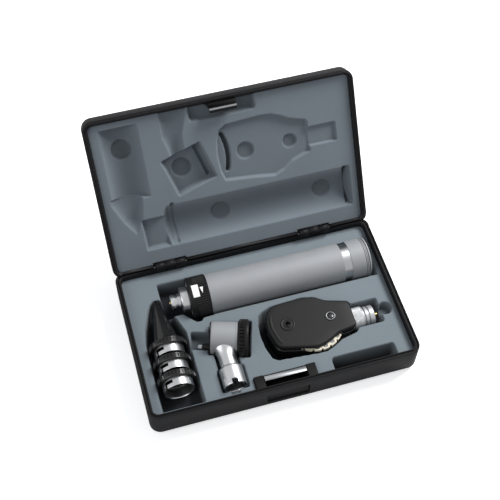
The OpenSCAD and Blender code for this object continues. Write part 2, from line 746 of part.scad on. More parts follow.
module handle_tube() color(satin) at_handle() difference() {
  union() {
    bar_x(tube_x0, cap_x0, handle_r);
    bar_x(ring_x0 + 0.4, tube_x0 + 1, core_r);
  }
  bar_x(tube_x0 + 3, cap_x0 + 1, tube_bore_r);
  bar_x(ring_x0 - 1, tube_x0 + 4, 3.5);
  difference() {
    bar_x(cap_x0 - band_in - band_w, cap_x0 - band_in, handle_r + 1);
    bar_x(cap_x0 - band_in - band_w - 1, cap_x0 - band_in + 1, handle_r - 0.5);
  }
}

module handle_neck() color(chrome) at_handle() difference() {
  turned_x([[0, 0], [0, spigot_r - 0.5], [0.5, spigot_r], [spigot_l - 4, spigot_r],
    [spigot_l - 4, spigot_r - 1.1], [spigot_l - 2.2, spigot_r - 1.1], [spigot_l - 2.2, spigot_r],
    [spigot_l, spigot_r], [spigot_l, neck_r - 0.8], [spigot_l + 0.8, neck_r], [ring_x0 - 0.6, neck_r],
    [ring_x0 - gap, neck_r - gap], [ring_x0 - gap, spigot_r + 1.4], [ring_x0 + gap, spigot_r + 1.4],
    [ring_x0 + gap, 0]]);
  bar_x(-1, ring_x0 + 2, 2.4);
}

module neck_insulator() color(part_black) at_handle() difference() {
  bar_x(0.2, tube_x0 + 3, 2.3);
  bar_x(-1, tube_x0 + 5, 1.25);
}

module neck_contact() color(brass) at_handle() {
  bar_x(-0.8, tube_x0 + 4.4, 1.2);
  bar_x(tube_x0 + 3.4, tube_x0 + 4.4, 5);
}

module battery(x) {
  translate([x, 0, 0]) {
    bar_x(1.6, cell_l, cell_r);
    bar_x(0, 2, 3.3);
  }
}
module battery_front() color([0.35, 0.36, 0.4]) at_handle() battery(cell_x0);
module battery_rear() color([0.35, 0.36, 0.4]) at_handle() battery(cell_x0 + cell_l + gap);

spring_x0 = cell_x0 + 2*cell_l + 0.7;
spring_x1 = cap_x0 - cap_plug_l - 1.3;
module battery_spring() color(satin) at_handle() difference() {
  bar_x(spring_x0, spring_x1, 6);
  bar_x(spring_x0 - 1, spring_x1 + 1, 5);
}

module rheostat_ring() color(part_black) at_handle() difference() {
  bar_x(ring_x0, tube_x0 - gap, dial_ring_r);
  bar_x(ring_x0 - 1, tube_x0 + 1, core_r + run_fit);
}

// White index bar and pointer on the rheostat ring
module rheostat_marks() color([0.93, 0.93, 0.93]) at_handle() intersection() {
  difference() {
    bar_x(ring_x0 + 2.4, ring_x0 + 11, dial_ring_r + 0.12);
    bar_x(ring_x0, tube_x0, dial_ring_r);
  }
  union() {
    rotate([13.5, 0, 0]) translate([ring_x0 + 2.5, -4.7, 10]) cube([4.8, 9.4, 10]);
    rotate([15, 0, 0]) translate([ring_x0 + 8.4, 0, 10]) linear_extrude(10)
      polygon([[0, 2.4], [1.2, -2.4], [2.4, 2.4]]);
  }
}

module cap_contact() color(brass) at_handle() bar_x(spring_x1 + 0.3, spring_x1 + 1, 9);

module handle_cap() color(satin) at_handle() {
  bar_x(cap_x0 - cap_plug_l, cap_x0 + gap + eps, tube_bore_r - run_fit);
  turned_x([[cap_x0 + gap, 0], [cap_x0 + gap, handle_r], [cap_x0 + 1.4, handle_r],
    [cap_x0 + 1.4, handle_r - 0.3], [cap_x0 + 1.8, handle_r - 0.3], [cap_x0 + 1.8, handle_r],
    [handle_l - 1.2, handle_r], [handle_l, handle_r - 1.2], [handle_l, 0]]);
}

// One speculum: open collar end towards the front, cone towards the back
module at_speculum(i) {
  translate([spec_x, spec_y + i*spec_pitch, spec_z]) children();
}

module speculum_cone(i) at_speculum(i) turned_y([[spec_collar_l, spec_collar_r + 0.02],
  [spec_collar_l, spec_ring_r - 0.5], [spec_collar_l + 0.5, spec_ring_r],
  [cone_s0 - 0.5, spec_ring_r], [cone_s0, spec_ring_r - 0.5], [cone_s0, spec_cone_r],
  [spec_l, spec_tip_r], [spec_l, spec_tip_r - spec_wall], [cone_s0, spec_cone_r - spec_wall],
  [spec_collar_l + 2, spec_cone_r - spec_wall], [spec_collar_l + 2, spec_collar_r + 0.02]]);

module speculum_collar(i) at_speculum(i) difference() {
  turned_y([[0, spec_collar_r - spec_wall], [0, spec_collar_r], [spec_collar_l + 1.9, spec_collar_r],
    [spec_collar_l + 1.9, spec_collar_r - spec_wall]]);
  rotate([0, -52, 0]) {
    translate([-1, -1, 5]) cube([2, 5.8, 10]);
    translate([-1, 3.1, 5]) cube([6, 1.7, 10]);
  }
}

module speculum_cone_back() color(part_black) speculum_cone(2);
module speculum_collar_back() color(chrome) speculum_collar(2);
module speculum_cone_middle() color(part_black) speculum_cone(1);
module speculum_collar_middle() color(chrome) speculum_collar(1);
module speculum_cone_front() color(part_black) speculum_cone(0);
module speculum_collar_front() color(chrome) speculum_collar(0);

module otoscope_barrel() color(satin) at_head() difference() {
  turned_x([[0, 0], [0, barrel_r - 1], [1, barrel_r], [barrel_l - 2, barrel_r],
    [barrel_l - 2, barrel_r - 2], [barrel_l + 2.6, barrel_r - 2], [barrel_l + 2.6, 0]]);
  bar_x(-1, barrel_l - 3, barrel_r - barrel_wall);
  bar_x(barrel_l - 4, barrel_l + 4, barrel_r - 3.4);
}

// Neck and socket of the otoscope head
module otoscope_socket() color(chrome) difference() {
  translate([stem_x, stem_y - stem_l - socket_l, head_z])
    turned_y([[0, spigot_r + 0.3], [0, socket_r - 0.3], [0.3, socket_r], [socket_l - 1, socket_r],
      [socket_l, socket_r - 1], [socket_l, stem_r], [socket_l + 8, stem_r],
      [socket_l + 12.4, stem_r + 1.6], [socket_l + 16, stem_r + 1.6], [socket_l + 16, 0],
      [socket_l - 2, 0], [socket_l - 2, spigot_r + 0.3]]);
  at_head() bar_x(-2, barrel_l + 5, barrel_r + 0.01);
  translate([stem_x - 2.3, stem_y - stem_l - socket_l - 1, head_z]) cube([4.6, 5, 20]);
}

module lamp_stem() color(part_black) at_head()
  translate([0, -7.2, 0]) turned_x([[-lamp_l + 3, 0], [-lamp_l + 3, 1.7], [-lamp_l + 4.5, 2.4],
    [barrel_l - 3.2, 2.4], [barrel_l - 3.2, 0]]);

module otoscope_lamp() color([0.9, 0.9, 0.95]) at_head()
  translate([0, -7.2, 0]) turned_x([[-lamp_l, 0], [-lamp_l, 0.8], [-lamp_l + 1, 1.5],
    [-lamp_l + 3, 1.5], [-lamp_l + 3, 0]]);

module magnifier_ring() color(part_black) at_head() difference() {
  turned_x([[barrel_l - 1.6, barrel_r - 2 + run_fit], [barrel_l - 1.6, barrel_r + 0.4],
    [barrel_l - 0.2, mag_r - 0.8], [barrel_l + 0.6, mag_r], [barrel_l + mag_l - 1, mag_r],
    [barrel_l + mag_l, mag_r - 1], [barrel_l + mag_l, barrel_r - 2.6], [barrel_l + 3, barrel_r - 2.6],
    [barrel_l + 3, barrel_r - 2 + run_fit]]);
  for (i = [0:23])
    rotate([i*15, 0, 0]) translate([barrel_l + 0.8, -0.6, mag_r - 0.35]) cube([mag_l - 2, 1.2, 2]);
}

module magnifier_lens() color([0.8, 0.85, 0.9, 0.5]) at_head()
  bar_x(barrel_l + 3.4, barrel_l + 5.2, barrel_r - 2.62);

// Both halves of the ophthalmoscope housing, with the room for its wheel and its light
module viewer_half(z0, z1) {
  difference() {
    union() {
      translate([view_x, view_y, z0]) linear_extrude(min(z1, view_z1 - 1) - z0) polygon(view_outline);
      if (z1 > view_z1 - 1)
        translate([view_x, view_y, z0]) linear_extrude(z1 - z0) polygon(grown(view_outline, -1));
    }
    translate([view_x, view_y + wheel_y, wheel_z - gap]) cylinder(r = wheel_r + 0.5, h = wheel_t + 2*gap);
    translate([view_x, view_y + wheel_y, wheel_z - axle_in])
      cylinder(r = axle_r - eps, h = wheel_t + 2*axle_in);
    translate([view_x + eye_at[0], view_y + eye_at[1], 0]) cylinder(r = 2.6, h = 60);
    translate([view_x + light_x, view_neck_y - light_room/2, view_neck_z - light_room/2])
      cube([2*light_room, light_room, light_room]);
    translate([view_x + dial_at[0], view_y + dial_at[1], view_z1 - 2.4]) cylinder(r = dial_r + 0.9, h = 10);
    translate([view_x + eye_at[0], view_y + eye_at[1], view_z1 - 1.6]) cylinder(r = eye_r + 0.02, h = 10);
  }
}
view_split = wheel_z + wheel_t/2;
module viewer_body() color(part_black) viewer_half(view_z0, view_split - 0.02);
module viewer_cover() color(part_black) viewer_half(view_split, view_z1);

module viewing_ring() color([0.2, 0.2, 0.21])
  translate([view_x + eye_at[0], view_y + eye_at[1], view_z1 - 1.58]) rotate_extrude()
    polygon([[2.2, 0], [eye_r, 0], [eye_r, 2], [eye_r - 0.6, 2.4], [3.4, 2.4], [2.2, 1]]);

// Soft crescent at the eye end of the head
module brow_rest() color([0.05, 0.05, 0.05]) translate([view_x, view_y, view_z1]) difference() {
  linear_extrude(1.4) polygon(grown(view_outline, -1.6));
  translate([brow_w, 0, -1]) linear_extrude(view_t) polygon(grown(view_outline, -1.6));
  translate([view_outline[2][0] + brow_w, -2*view_t, -1]) cube([5*view_t, 4*view_t, view_t]);
}

module viewer_collar() color(chrome) translate([view_neck_x, view_neck_y, view_neck_z]) difference() {
  turned_x([[0, 0], [0, collar_r - 0.4], [0.4, collar_r], [collar_l - 0.4, collar_r],
    [collar_l, collar_r - 0.4], [collar_l, collar_r - 1.9], [collar_l + 1.4, collar_r - 1.9],
    [collar_l + 1.4, collar_r - 1], [collar_l + 3.6, collar_r - 1], [collar_l + 3.6, collar_r - 1.9],
    [collar_l + 4.6, collar_r - 1.9], [collar_l + 4.6, collar_r - 1],
    [collar_l + collar_ring_l, collar_r - 1], [collar_l + collar_ring_l, 0]]);
  bar_x(-1, 12, 3.6);
  bar_x(8, 30, 1.25);
}

module viewer_contact() color(brass) translate([view_neck_x, view_neck_y, view_neck_z]) {
  bar_x(9.6, collar_l + collar_ring_l + 3, 1.25);
  bar_x(9.6, 11.5, 2.6);
}

module viewer_mirror() color([0.85, 0.87, 0.9])
  translate([view_x + light_x, view_neck_y - 2, view_neck_z - 2]) cube([2, 4, 4]);

module viewer_lamp() color([0.9, 0.9, 0.85]) translate([view_neck_x - 2.7, view_neck_y, view_neck_z])
  turned_x([[0, 0], [0, 1.2], [1.2, 2.2], [4, 2.2], [4, 3.6], [12.3, 3.6], [12.3, 0]]);

// Fixed axle of the lens wheel
module wheel_axle() color(satin) translate([view_x, view_y + wheel_y, wheel_z - axle_in + 0.1])
  cylinder(r = axle_r - 2*eps, h = wheel_t + 2*axle_in - 0.2);

// Toothed lens wheel with its ring of lens openings
module lens_wheel() color([0.86, 0.8, 0.66]) translate([view_x, view_y + wheel_y, wheel_z]) difference() {
  cylinder(r = wheel_r, h = wheel_t);
  translate([0, 0, -1]) cylinder(r = axle_r + run_fit, h = wheel_t + 2);
  for (i = [0:wheel_n - 1]) {
    a = eye_turn + i*360/wheel_n;
    rotate(a + 180/wheel_n) translate([wheel_r + 0.6, 0, -1]) cylinder(r = 1.6, h = wheel_t + 2, $fn = 24);
    rotate(a) translate([lens_ring_r, 0, -1]) cylinder(r = lens_r, h = wheel_t + 2, $fn = 24);
  }
}

module wheel_lenses() color([0.8, 0.88, 0.95, 0.5]) translate([view_x, view_y + wheel_y, wheel_z + 0.5])
  for (i = [0:wheel_n - 1])
    rotate(eye_turn + i*360/wheel_n) translate([lens_ring_r, 0, 0])
      cylinder(r = lens_r, h = wheel_t - 1, $fn = 24);

// Small selector for the light spot
module aperture_dial() color(satin) translate([view_x + dial_at[0], view_y + dial_at[1], view_z1 - 2.1])
  difference() {
    rotate_extrude() polygon([[0, 0], [dial_r, 0], [dial_r, 2.6], [dial_r - 0.6, 3.1], [0, 3.1]]);
    translate([-dial_r - 1, -0.45, 2.4]) cube([2*dial_r + 2, 0.9, 2]);
  }

base_shell();
base_tray();
latch_frame();
hinge_pins();
latch_push_plate();
latch_bar();
strike_strip();
latch_springs();
lid_shell();
lid_tray();
keeper_block();
keeper_plate();
handle_tube();
handle_neck();
neck_insulator();
neck_contact();
battery_front();
battery_rear();
battery_spring();
rheostat_ring();
rheostat_marks();
cap_contact();
handle_cap();
speculum_cone_back();
speculum_collar_back();
speculum_cone_middle();
speculum_collar_middle();
speculum_cone_front();
speculum_collar_front();
otoscope_barrel();
otoscope_socket();
lamp_stem();
otoscope_lamp();
magnifier_ring();
magnifier_lens();
viewer_body();
viewer_cover();
viewing_ring();
brow_rest();
viewer_collar();
viewer_contact();
viewer_mirror();
viewer_lamp();
wheel_axle();
lens_wheel();
wheel_lenses();
aperture_dial();
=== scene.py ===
import json
import math

import bmesh
import bpy
import numpy as np
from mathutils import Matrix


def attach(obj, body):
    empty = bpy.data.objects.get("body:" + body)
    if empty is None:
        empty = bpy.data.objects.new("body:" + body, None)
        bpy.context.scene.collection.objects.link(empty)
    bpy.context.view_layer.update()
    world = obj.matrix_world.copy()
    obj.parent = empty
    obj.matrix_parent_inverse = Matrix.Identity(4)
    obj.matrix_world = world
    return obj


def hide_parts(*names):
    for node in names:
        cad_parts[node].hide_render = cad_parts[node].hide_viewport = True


# Sizes are in millimetres in the frame of the case; a mesh turns them into metres as it is made
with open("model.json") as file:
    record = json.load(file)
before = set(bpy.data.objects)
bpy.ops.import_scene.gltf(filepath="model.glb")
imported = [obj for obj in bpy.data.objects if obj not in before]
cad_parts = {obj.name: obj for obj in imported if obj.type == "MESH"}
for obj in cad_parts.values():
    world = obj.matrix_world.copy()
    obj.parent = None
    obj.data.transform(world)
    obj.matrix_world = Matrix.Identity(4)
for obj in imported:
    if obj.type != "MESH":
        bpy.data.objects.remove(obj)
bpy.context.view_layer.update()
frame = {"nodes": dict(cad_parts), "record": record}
scene = bpy.context.scene
mm = 0.001
print("frame loaded")


# A mesh object from millimetre points, riding on a body and standing for CAD nodes
def meshPiece(name, points, faces, body, material, stands=()):
    mesh = bpy.data.meshes.new(name)
    faceList = faces.tolist() if isinstance(faces, np.ndarray) else faces
    mesh.from_pydata((np.asarray(points, float).reshape(-1, 3) * mm).tolist(), [], faceList)
    mesh.validate()
    mesh.polygons.foreach_set("use_smooth", [True] * len(mesh.polygons))
    mesh.update()
    obj = bpy.data.objects.new(name, mesh)
    scene.collection.objects.link(obj)
    mesh.materials.append(material)
    if body:
        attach(obj, body)
    if stands:
        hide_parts(*stands)
    return obj


# Quads between the neighbouring rows and columns of a grid, closed where asked
def gridFaces(rows, cols, closeRows=False, closeCols=False):
    r = np.arange(rows if closeRows else rows - 1)
    c = np.arange(cols if closeCols else cols - 1)
    a, b = np.meshgrid(r, c, indexing="ij")
    nextA, nextB = (a + 1) % rows, (b + 1) % cols
    corners = [a * cols + b, nextA * cols + b, nextA * cols + nextB, a * cols + nextB]
    return np.stack(corners, axis=-1).reshape(-1, 4)


# Unit vectors along an axis, to its side and to its top
def axisFrame(direction):
    d = np.asarray(direction, float)
    d = d / np.linalg.norm(d)
    up = np.array([0.0, 0.0, 1.0]) if abs(d[2]) < 0.9 else np.array([1.0, 0.0, 0.0])
    side = np.cross(up, d)
    side = side / np.linalg.norm(side)
    return d, side, np.cross(d, side)


# Points round an axis: start + s * along + r * (cos a * top + sin a * side)
def roundPoints(start, direction, s, r, a):
    d, side, top = axisFrame(direction)
    return (np.asarray(start, float) + s[..., None] * d
            + (r * np.cos(a))[..., None] * top + (r * np.sin(a))[..., None] * side)


# Closed surface of revolution: s and r follow the profile, a goes round, and relief(s, a) is added to r
def turned(name, start, direction, profile, body, material, stands=(), steps=96, relief=None,
           edge=38):
    prof = np.asarray(profile, float)
    s, a = np.meshgrid(prof[:, 0], np.linspace(0, 2 * math.pi, steps, endpoint=False), indexing="ij")
    r = np.repeat(prof[:, 1][:, None], steps, axis=1)
    if relief is not None:
        r = r + relief(s, a)
    points = roundPoints(start, direction, s, r, a)
    obj = meshPiece(name, points, gridFaces(len(prof), steps, True, True), body, material, stands)
    return sharpen(pointOutwards(obj), edge)


# Open tube on a grid of rows along the axis and columns round it: its points, its faces, and the row and the
# column at which each face starts
def tubeGrid(start, direction, rows, radii, a):
    s, angle = np.meshgrid(rows, a, indexing="ij")
    r = np.repeat(np.asarray(radii, float)[:, None], len(a), 1)
    faces = gridFaces(len(rows), len(a), False, True)
    return roundPoints(start, direction, s, r, angle), faces, faces[:, 0] // len(a), faces[:, 0] % len(a)


# Doubles within these distances are merged, in metres, on a piece made here and on a copy of a CAD node
mergeWithin = {"made": 0.000002, "cad": 0.00001}


# Normals recalculated on a closed shell after its doubles are merged
def pointOutwards(obj):
    bm = bmesh.new()
    bm.from_mesh(obj.data)
    bmesh.ops.remove_doubles(bm, verts=bm.verts, dist=mergeWithin["made"])
    bmesh.ops.recalc_face_normals(bm, faces=bm.faces)
    bm.to_mesh(obj.data)
    bm.free()
    return obj


# Shading broken at the edges that are sharper than the given angle
def sharpen(obj, degrees):
    mod = obj.modifiers.new("edges", "EDGE_SPLIT")
    mod.split_angle = math.radians(degrees)
    return obj


# A wall of the given thickness on the inner side of a surface
def walled(obj, thickness):
    mod = obj.modifiers.new("wall", "SOLIDIFY")
    mod.thickness = thickness * mm
    mod.offset = -1.0
    return obj


# A profile with its long straight runs cut into lengths of about step
def finer(profile, step):
    out = [profile[0]]
    for p, q in zip(profile[:-1], profile[1:]):
        n = max(1, int(math.hypot(q[0] - p[0], q[1] - p[1]) / step))
        out += [(p[0] + (q[0] - p[0]) * i / n, p[1] + (q[1] - p[1]) * i / n) for i in range(1, n + 1)]
    return out


# The values of a piece's dictionary under the given names
def valuesOf(settings, names):
    return [settings[name] for name in names.split()]


# Smooth step from 0 to 1 while t goes from 0 to 1
def eased(t):
    t = np.clip(t, 0, 1)
    return t * t * (3 - 2 * t)


# A band between two places with soft ends of the given width
def bandMask(s, s0, s1, soft):
    return eased((s - s0) / soft) * eased((s1 - s) / soft)


# A copy of a CAD node with its doubles merged and its sharp edges rounded by a bevel, but not where the two
# shells meet behind the hinge axis
def softened(name, nodeName, width, body, material, degrees=40):
    mesh = frame["nodes"][nodeName].data.copy()
    mesh.name = name
    bm = bmesh.new()
    bm.from_mesh(mesh)
    bmesh.ops.remove_doubles(bm, verts=bm.verts, dist=mergeWithin["cad"])
    bmesh.ops.recalc_face_normals(bm, faces=bm.faces)
    weight = bm.edges.layers.float.new("bevel_weight_edge")
    for edge in bm.edges:
        mid = (edge.verts[0].co + edge.verts[1].co) / 2 / mm
        nearHinge = math.hypot(mid.y - lidHinge["y"], mid.z - lidHinge["z"]) < lidHinge["sharp"]
        edge[weight] = float(edge.calc_face_angle(0.0) > math.radians(degrees) and not nearHinge)
    bm.to_mesh(mesh)
    bm.free()
    mesh.polygons.foreach_set("use_smooth", [True] * len(mesh.polygons))
    mesh.materials.clear()
    mesh.materials.append(material)
    obj = bpy.data.objects.new(name, mesh)
    scene.collection.objects.link(obj)
    bevel = obj.modifiers.new("softEdges", "BEVEL")
    bevel.width = width * mm
    bevel.segments = 2
    bevel.limit_method = "WEIGHT"
    bevel.harden_normals = True
    bevel.use_clamp_overlap = False
    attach(obj, body)
    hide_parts(nodeName)
    return obj


# Grain: a fine noise for the bump, and a slow one that wanders between two colours and about the roughness
def grainGroup():
    group = bpy.data.node_groups.new("surfaceGrain", "ShaderNodeTree")
    for socket in ("Scale", "Patches", "Roughness", "Spread"):
        group.interface.new_socket(socket, in_out="INPUT", socket_type="NodeSocketFloat")
    for socket in ("Color", "Second Color"):
        group.interface.new_socket(socket, in_out="INPUT", socket_type="NodeSocketColor")
    for socket, kind in (("Color", "Color"), ("Roughness", "Float"), ("Height", "Float")):
        group.interface.new_socket(socket, in_out="OUTPUT", socket_type="NodeSocket" + kind)
    new, link = group.nodes.new, group.links.new
    given, result = new("NodeGroupInput"), new("NodeGroupOutput")
    coord = new("ShaderNodeTexCoord")
    fine, slow = new("ShaderNodeTexNoise"), new("ShaderNodeTexNoise")
    fine.inputs["Detail"].default_value = 3.0
    slow.inputs["Detail"].default_value = 3.0
    centre, spread, shift = new("ShaderNodeMath"), new("ShaderNodeMath"), new("ShaderNodeMath")
    centre.operation, spread.operation, shift.operation = "SUBTRACT", "MULTIPLY", "ADD"
    centre.inputs[1].default_value = 0.5
    tint = new("ShaderNodeMix")
    tint.data_type = "RGBA"
    link(coord.outputs["Object"], fine.inputs["Vector"])
    link(coord.outputs["Object"], slow.inputs["Vector"])
    link(given.outputs["Scale"], fine.inputs["Scale"])
    link(given.outputs["Patches"], slow.inputs["Scale"])
    link(slow.outputs["Fac"], centre.inputs[0])
    link(centre.outputs[0], spread.inputs[0])
    link(given.outputs["Spread"], spread.inputs[1])
    link(spread.outputs[0], shift.inputs[0])
    link(given.outputs["Roughness"], shift.inputs[1])
    link(slow.outputs["Fac"], tint.inputs[0])
    link(given.outputs["Color"], tint.inputs[6])
    link(given.outputs["Second Color"], tint.inputs[7])
    link(tint.outputs[2], result.inputs["Color"])
    link(shift.outputs[0], result.inputs["Roughness"])
    link(fine.outputs["Fac"], result.inputs["Height"])
    return group


grain = grainGroup()


# A Principled material over the grain; the optional dark colour is painted shade, mixed into the base colour
# by the tray's shade attribute where its pockets are deep
def material(name, color, rough, metal=0.0, scale=900.0, patches=40.0, spread=0.1, vary=0.08, bump=0.05,
             depth=0.0001, specular=0.5, sheen=0.0, paintedShadeColor=None):
    made = bpy.data.materials.new(name)
    made.use_nodes = True
    nodes, link = made.node_tree.nodes, made.node_tree.links.new
    shader = nodes["Principled BSDF"]
    shader.inputs["Metallic"].default_value = metal
    shader.inputs["Specular IOR Level"].default_value = specular
    shader.inputs["Sheen Weight"].default_value = sheen
    surface = nodes.new("ShaderNodeGroup")
    surface.node_tree = grain
    surface.inputs["Scale"].default_value = scale
    surface.inputs["Patches"].default_value = patches
    surface.inputs["Roughness"].default_value = rough
    surface.inputs["Spread"].default_value = spread
    surface.inputs["Color"].default_value = (*[c * (1 - vary) for c in color], 1.0)
    surface.inputs["Second Color"].default_value = (*[c * (1 + vary) for c in color], 1.0)
    relief = nodes.new("ShaderNodeBump")
    relief.inputs["Strength"].default_value = bump
    relief.inputs["Distance"].default_value = depth
    link(surface.outputs["Roughness"], shader.inputs["Roughness"])
    link(surface.outputs["Height"], relief.inputs["Height"])
    link(relief.outputs["Normal"], shader.inputs["Normal"])
    if paintedShadeColor is None:
        link(surface.outputs["Color"], shader.inputs["Base Color"])
        return made
    drawn, mix = nodes.new("ShaderNodeAttribute"), nodes.new("ShaderNodeMix")
    drawn.attribute_name = "drawn"
    mix.data_type = "RGBA"
    mix.inputs[7].default_value = (*paintedShadeColor, 1.0)
    link(drawn.outputs["Fac"], mix.inputs[0])
    link(surface.outputs["Color"], mix.inputs[6])
    link(mix.outputs[2], shader.inputs["Base Color"])
    return made


# Glass that is seen through by its alpha
def glassMaterial(name, color, alpha, rough):
    made = material(name, color, rough, bump=0.0, vary=0.0)
    made.node_tree.nodes["Principled BSDF"].inputs["Alpha"].default_value = alpha
    return made


casePlastic = material("casePlastic", (0.008, 0.008, 0.009), 0.52, scale=1400, bump=0.12, depth=0.00012,
                       specular=0.14)
latchPlastic = material("latchPlastic", (0.006, 0.006, 0.006), 0.55, scale=900, bump=0.1, specular=0.12)
# Flock of the trays; its dark second colour is painted shade for the deep pockets
flock = material("flock", (0.16, 0.19, 0.211), 0.95, scale=2600, patches=25, bump=0.35, depth=0.0002,
                 specular=0.15, sheen=0.2, paintedShadeColor=(0.022, 0.025, 0.028))
# The lid's tray has the same flock in a slightly darker copy, painted shade for the lid
lidFlock = material("lidFlock", (0.15, 0.177, 0.199), 0.95, scale=2600, patches=25, bump=0.35, depth=0.0002,
                    specular=0.15, sheen=0.2, paintedShadeColor=(0.04, 0.046, 0.052))
brightSteel = material("brightSteel", (0.3, 0.31, 0.32), 0.5, 0.8, scale=400, bump=0.04)
satinMetal = material("satinMetal", (0.262, 0.27, 0.282), 0.62, 0.18, scale=2200, patches=60, bump=0.16,
                      specular=0.3)
polished = material("polished", (0.36, 0.37, 0.38), 0.3, 1.0, scale=300, bump=0.02)
gunMetal = material("gunMetal", (0.16, 0.165, 0.17), 0.32, 1.0, scale=300, bump=0.02)
knurledMetal = material("knurledMetal", (0.4, 0.41, 0.42), 0.45, 0.6, scale=900, bump=0.04)
chrome = material("chrome", (0.45, 0.46, 0.47), 0.3, 1.0, scale=300, spread=0.06, bump=0.02)
blackPlastic = material("blackPlastic", (0.009, 0.009, 0.0095), 0.45, scale=1200, bump=0.06, specular=0.15)
glossBlack = material("glossBlack", (0.006, 0.006, 0.006), 0.22, scale=400, bump=0.02, specular=0.4)
softRubber = material("softRubber", (0.008, 0.008, 0.008), 0.6, scale=1500, bump=0.15, specular=0.25)
brass = material("brass", (0.72, 0.52, 0.2), 0.25, 1.0, bump=0.02)
cellJacket = material("cellJacket", (0.1, 0.11, 0.13), 0.4)
whiteMark = material("whiteMark", (0.85, 0.85, 0.83), 0.45, bump=0.0, vary=0.0)
wheelCream = material("wheelCream", (0.6, 0.55, 0.44), 0.4, bump=0.02)
clearGlass = glassMaterial("clearGlass", (0.8, 0.85, 0.87), 0.3, 0.05)
mirrorGlass = material("mirrorGlass", (0.85, 0.87, 0.88), 0.04, 1.0, bump=0.0)

finishes = {
    "case_plastic": casePlastic,
    "latch_plastic": latchPlastic,
    "flocked_sheet": flock,
    "steel": brightSteel,
    "satin_metal": satinMetal,
    "chrome": chrome,
    "instrument_plastic": blackPlastic,
    "soft_rubber": softRubber,
    "brass": brass,
    "cell_jacket": cellJacket,
    "white_mark": whiteMark,
    "wheel_cream": wheelCream,
    "clear_glass": clearGlass,
    "mirror": mirrorGlass,
}
for part in frame["record"]["subparts"]:
    node = frame["nodes"][part["node"]]
    node.data.materials.clear()
    node.data.materials.append(finishes[part["material_slot"]])
print("materials made")


# Places of the parts, as the frame has them
handleAt = {"x": -63.5, "y": 28.6, "z": 20.9}
speculaAt = {"x": -73.7, "y": -40.9, "z": 19.0, "pitch": 13.3}
headAt = {"x": -42.3, "y": -7.0, "z": 20.2, "turn": math.radians(-17), "stemX": -35.22, "stemY": -9.16}
viewAt = {"x": 32.0, "y": -15.5, "low": 5.2, "face": 25.2}
lidHinge = {"y": 58.3, "z": 27.1, "turn": math.radians(-122.0), "sharp": 5.6}
stemX = headAt["stemX"]
alongX, alongY, upwards = (1, 0, 0), (0, 1, 0), (0, 0, 1)


# Soft minimum and maximum: the two values blend where they lie within k of each other
def smoothMin(a, b, k):
    h = np.maximum(k - np.abs(a - b), 0) / k
    return np.minimum(a, b) - h * h * k / 4


def smoothMax(a, b, k):
    return -smoothMin(-a, -b, k)


# Distance to a rectangle with rounded corners, negative inside
def rectDistance(x, y, x0, x1, y0, y1, r=0.0):
    dx = np.abs(x - (x0 + x1) / 2) - (x1 - x0) / 2 + r
    dy = np.abs(y - (y0 + y1) / 2) - (y1 - y0) / 2 + r
    return np.hypot(np.maximum(dx, 0), np.maximum(dy, 0)) + np.minimum(np.maximum(dx, dy), 0) - r


# Distance to a closed outline, negative inside
def outlineDistance(x, y, outline):
    p = np.asarray(outline, float)
    best = np.full(x.shape, 1e9)
    inside = np.zeros(x.shape, bool)
    for a, b in zip(p, np.roll(p, -1, axis=0)):
        e = b - a
        t = np.clip(((x - a[0]) * e[0] + (y - a[1]) * e[1]) / (e @ e), 0, 1)
        best = np.minimum(best, np.hypot(x - a[0] - t * e[0], y - a[1] - t * e[1]))
        crosses = (a[1] > y) != (b[1] > y)
        at = a[0] + (y - a[1]) * e[0] / (e[1] if abs(e[1]) > 1e-9 else 1e-9)
        inside ^= crosses & (x < at)
    return np.where(inside, -best, best)


# The outline drawn in by r on every side
def shrunk(outline, r):
    p = np.asarray(outline, float)
    before, after = p - np.roll(p, 1, axis=0), np.roll(p, -1, axis=0) - p
    u = before / np.linalg.norm(before, axis=1)[:, None]
    v = after / np.linalg.norm(after, axis=1)[:, None]
    n, m = np.stack([u[:, 1], -u[:, 0]], 1), np.stack([v[:, 1], -v[:, 0]], 1)
    return p - r * (n + m) / (1 + (n * m).sum(1))[:, None]


# Distance to an outline whose corners are rounded by r, negative inside
def roundDistance(x, y, outline, r):
    return outlineDistance(x, y, shrunk(outline, r)) - r


# Depth of a pocket: its floor, cut off by walls of the given slope and rounded at foot and lip
def pocket(distance, floor, slope, foot, lip):
    return smoothMax(0.0 * distance, smoothMin(floor + 0.0 * distance, -distance * slope, foot), lip)


# A flat round step added to a pocket's floor
def disc(x, y, cx, cy, r, rise, wall):
    return rise * eased((r - np.hypot(x - cx, y - cy)) / wall + 0.5)


# Place in the otoscope head's own frame: along its barrel and across it
def headLocal(x, y):
    c, s = math.cos(headAt["turn"]), math.sin(headAt["turn"])
    dx, dy = x - headAt["x"], y - headAt["y"]
    return dx * c + dy * s, -dx * s + dy * c


# Place measured from the ophthalmoscope head, as headLocal is from the otoscope's
def viewerLocal(x, y):
    return x - viewAt["x"], y - viewAt["y"]


# One pocket of a tray from its entry: a box, an outline or a circle in the frame that the entry names, and
# how deep it goes; slope, foot and lip are the tray's where the entry has none
def trayPocket(x, y, entry, tray):
    own = {**tray, **entry}
    u, v = own["local"](x, y) if "local" in own else (x, y)
    u = u + own.get("bend", 0.0) * v * v
    if "outline" in own:
        distance = roundDistance(u, v, own["outline"], own["corner"])
    elif "box" in own:
        distance = rectDistance(u, v, *own["box"], own["corner"])
    else:
        distance = np.hypot(u - own["centre"][0], v - own["centre"][1]) - own["radius"]
    depth = own["depth"] if "depth" in own else own["top"] - own["floor"]
    return pocket(distance, depth, own["slope"], own["foot"], own["lip"])


# The deepest of several pockets at each place, blended where they meet
def deepest(parts, blend):
    depth = parts[0]
    for p in parts[1:]:
        depth = smoothMax(depth, p, blend)
    return depth


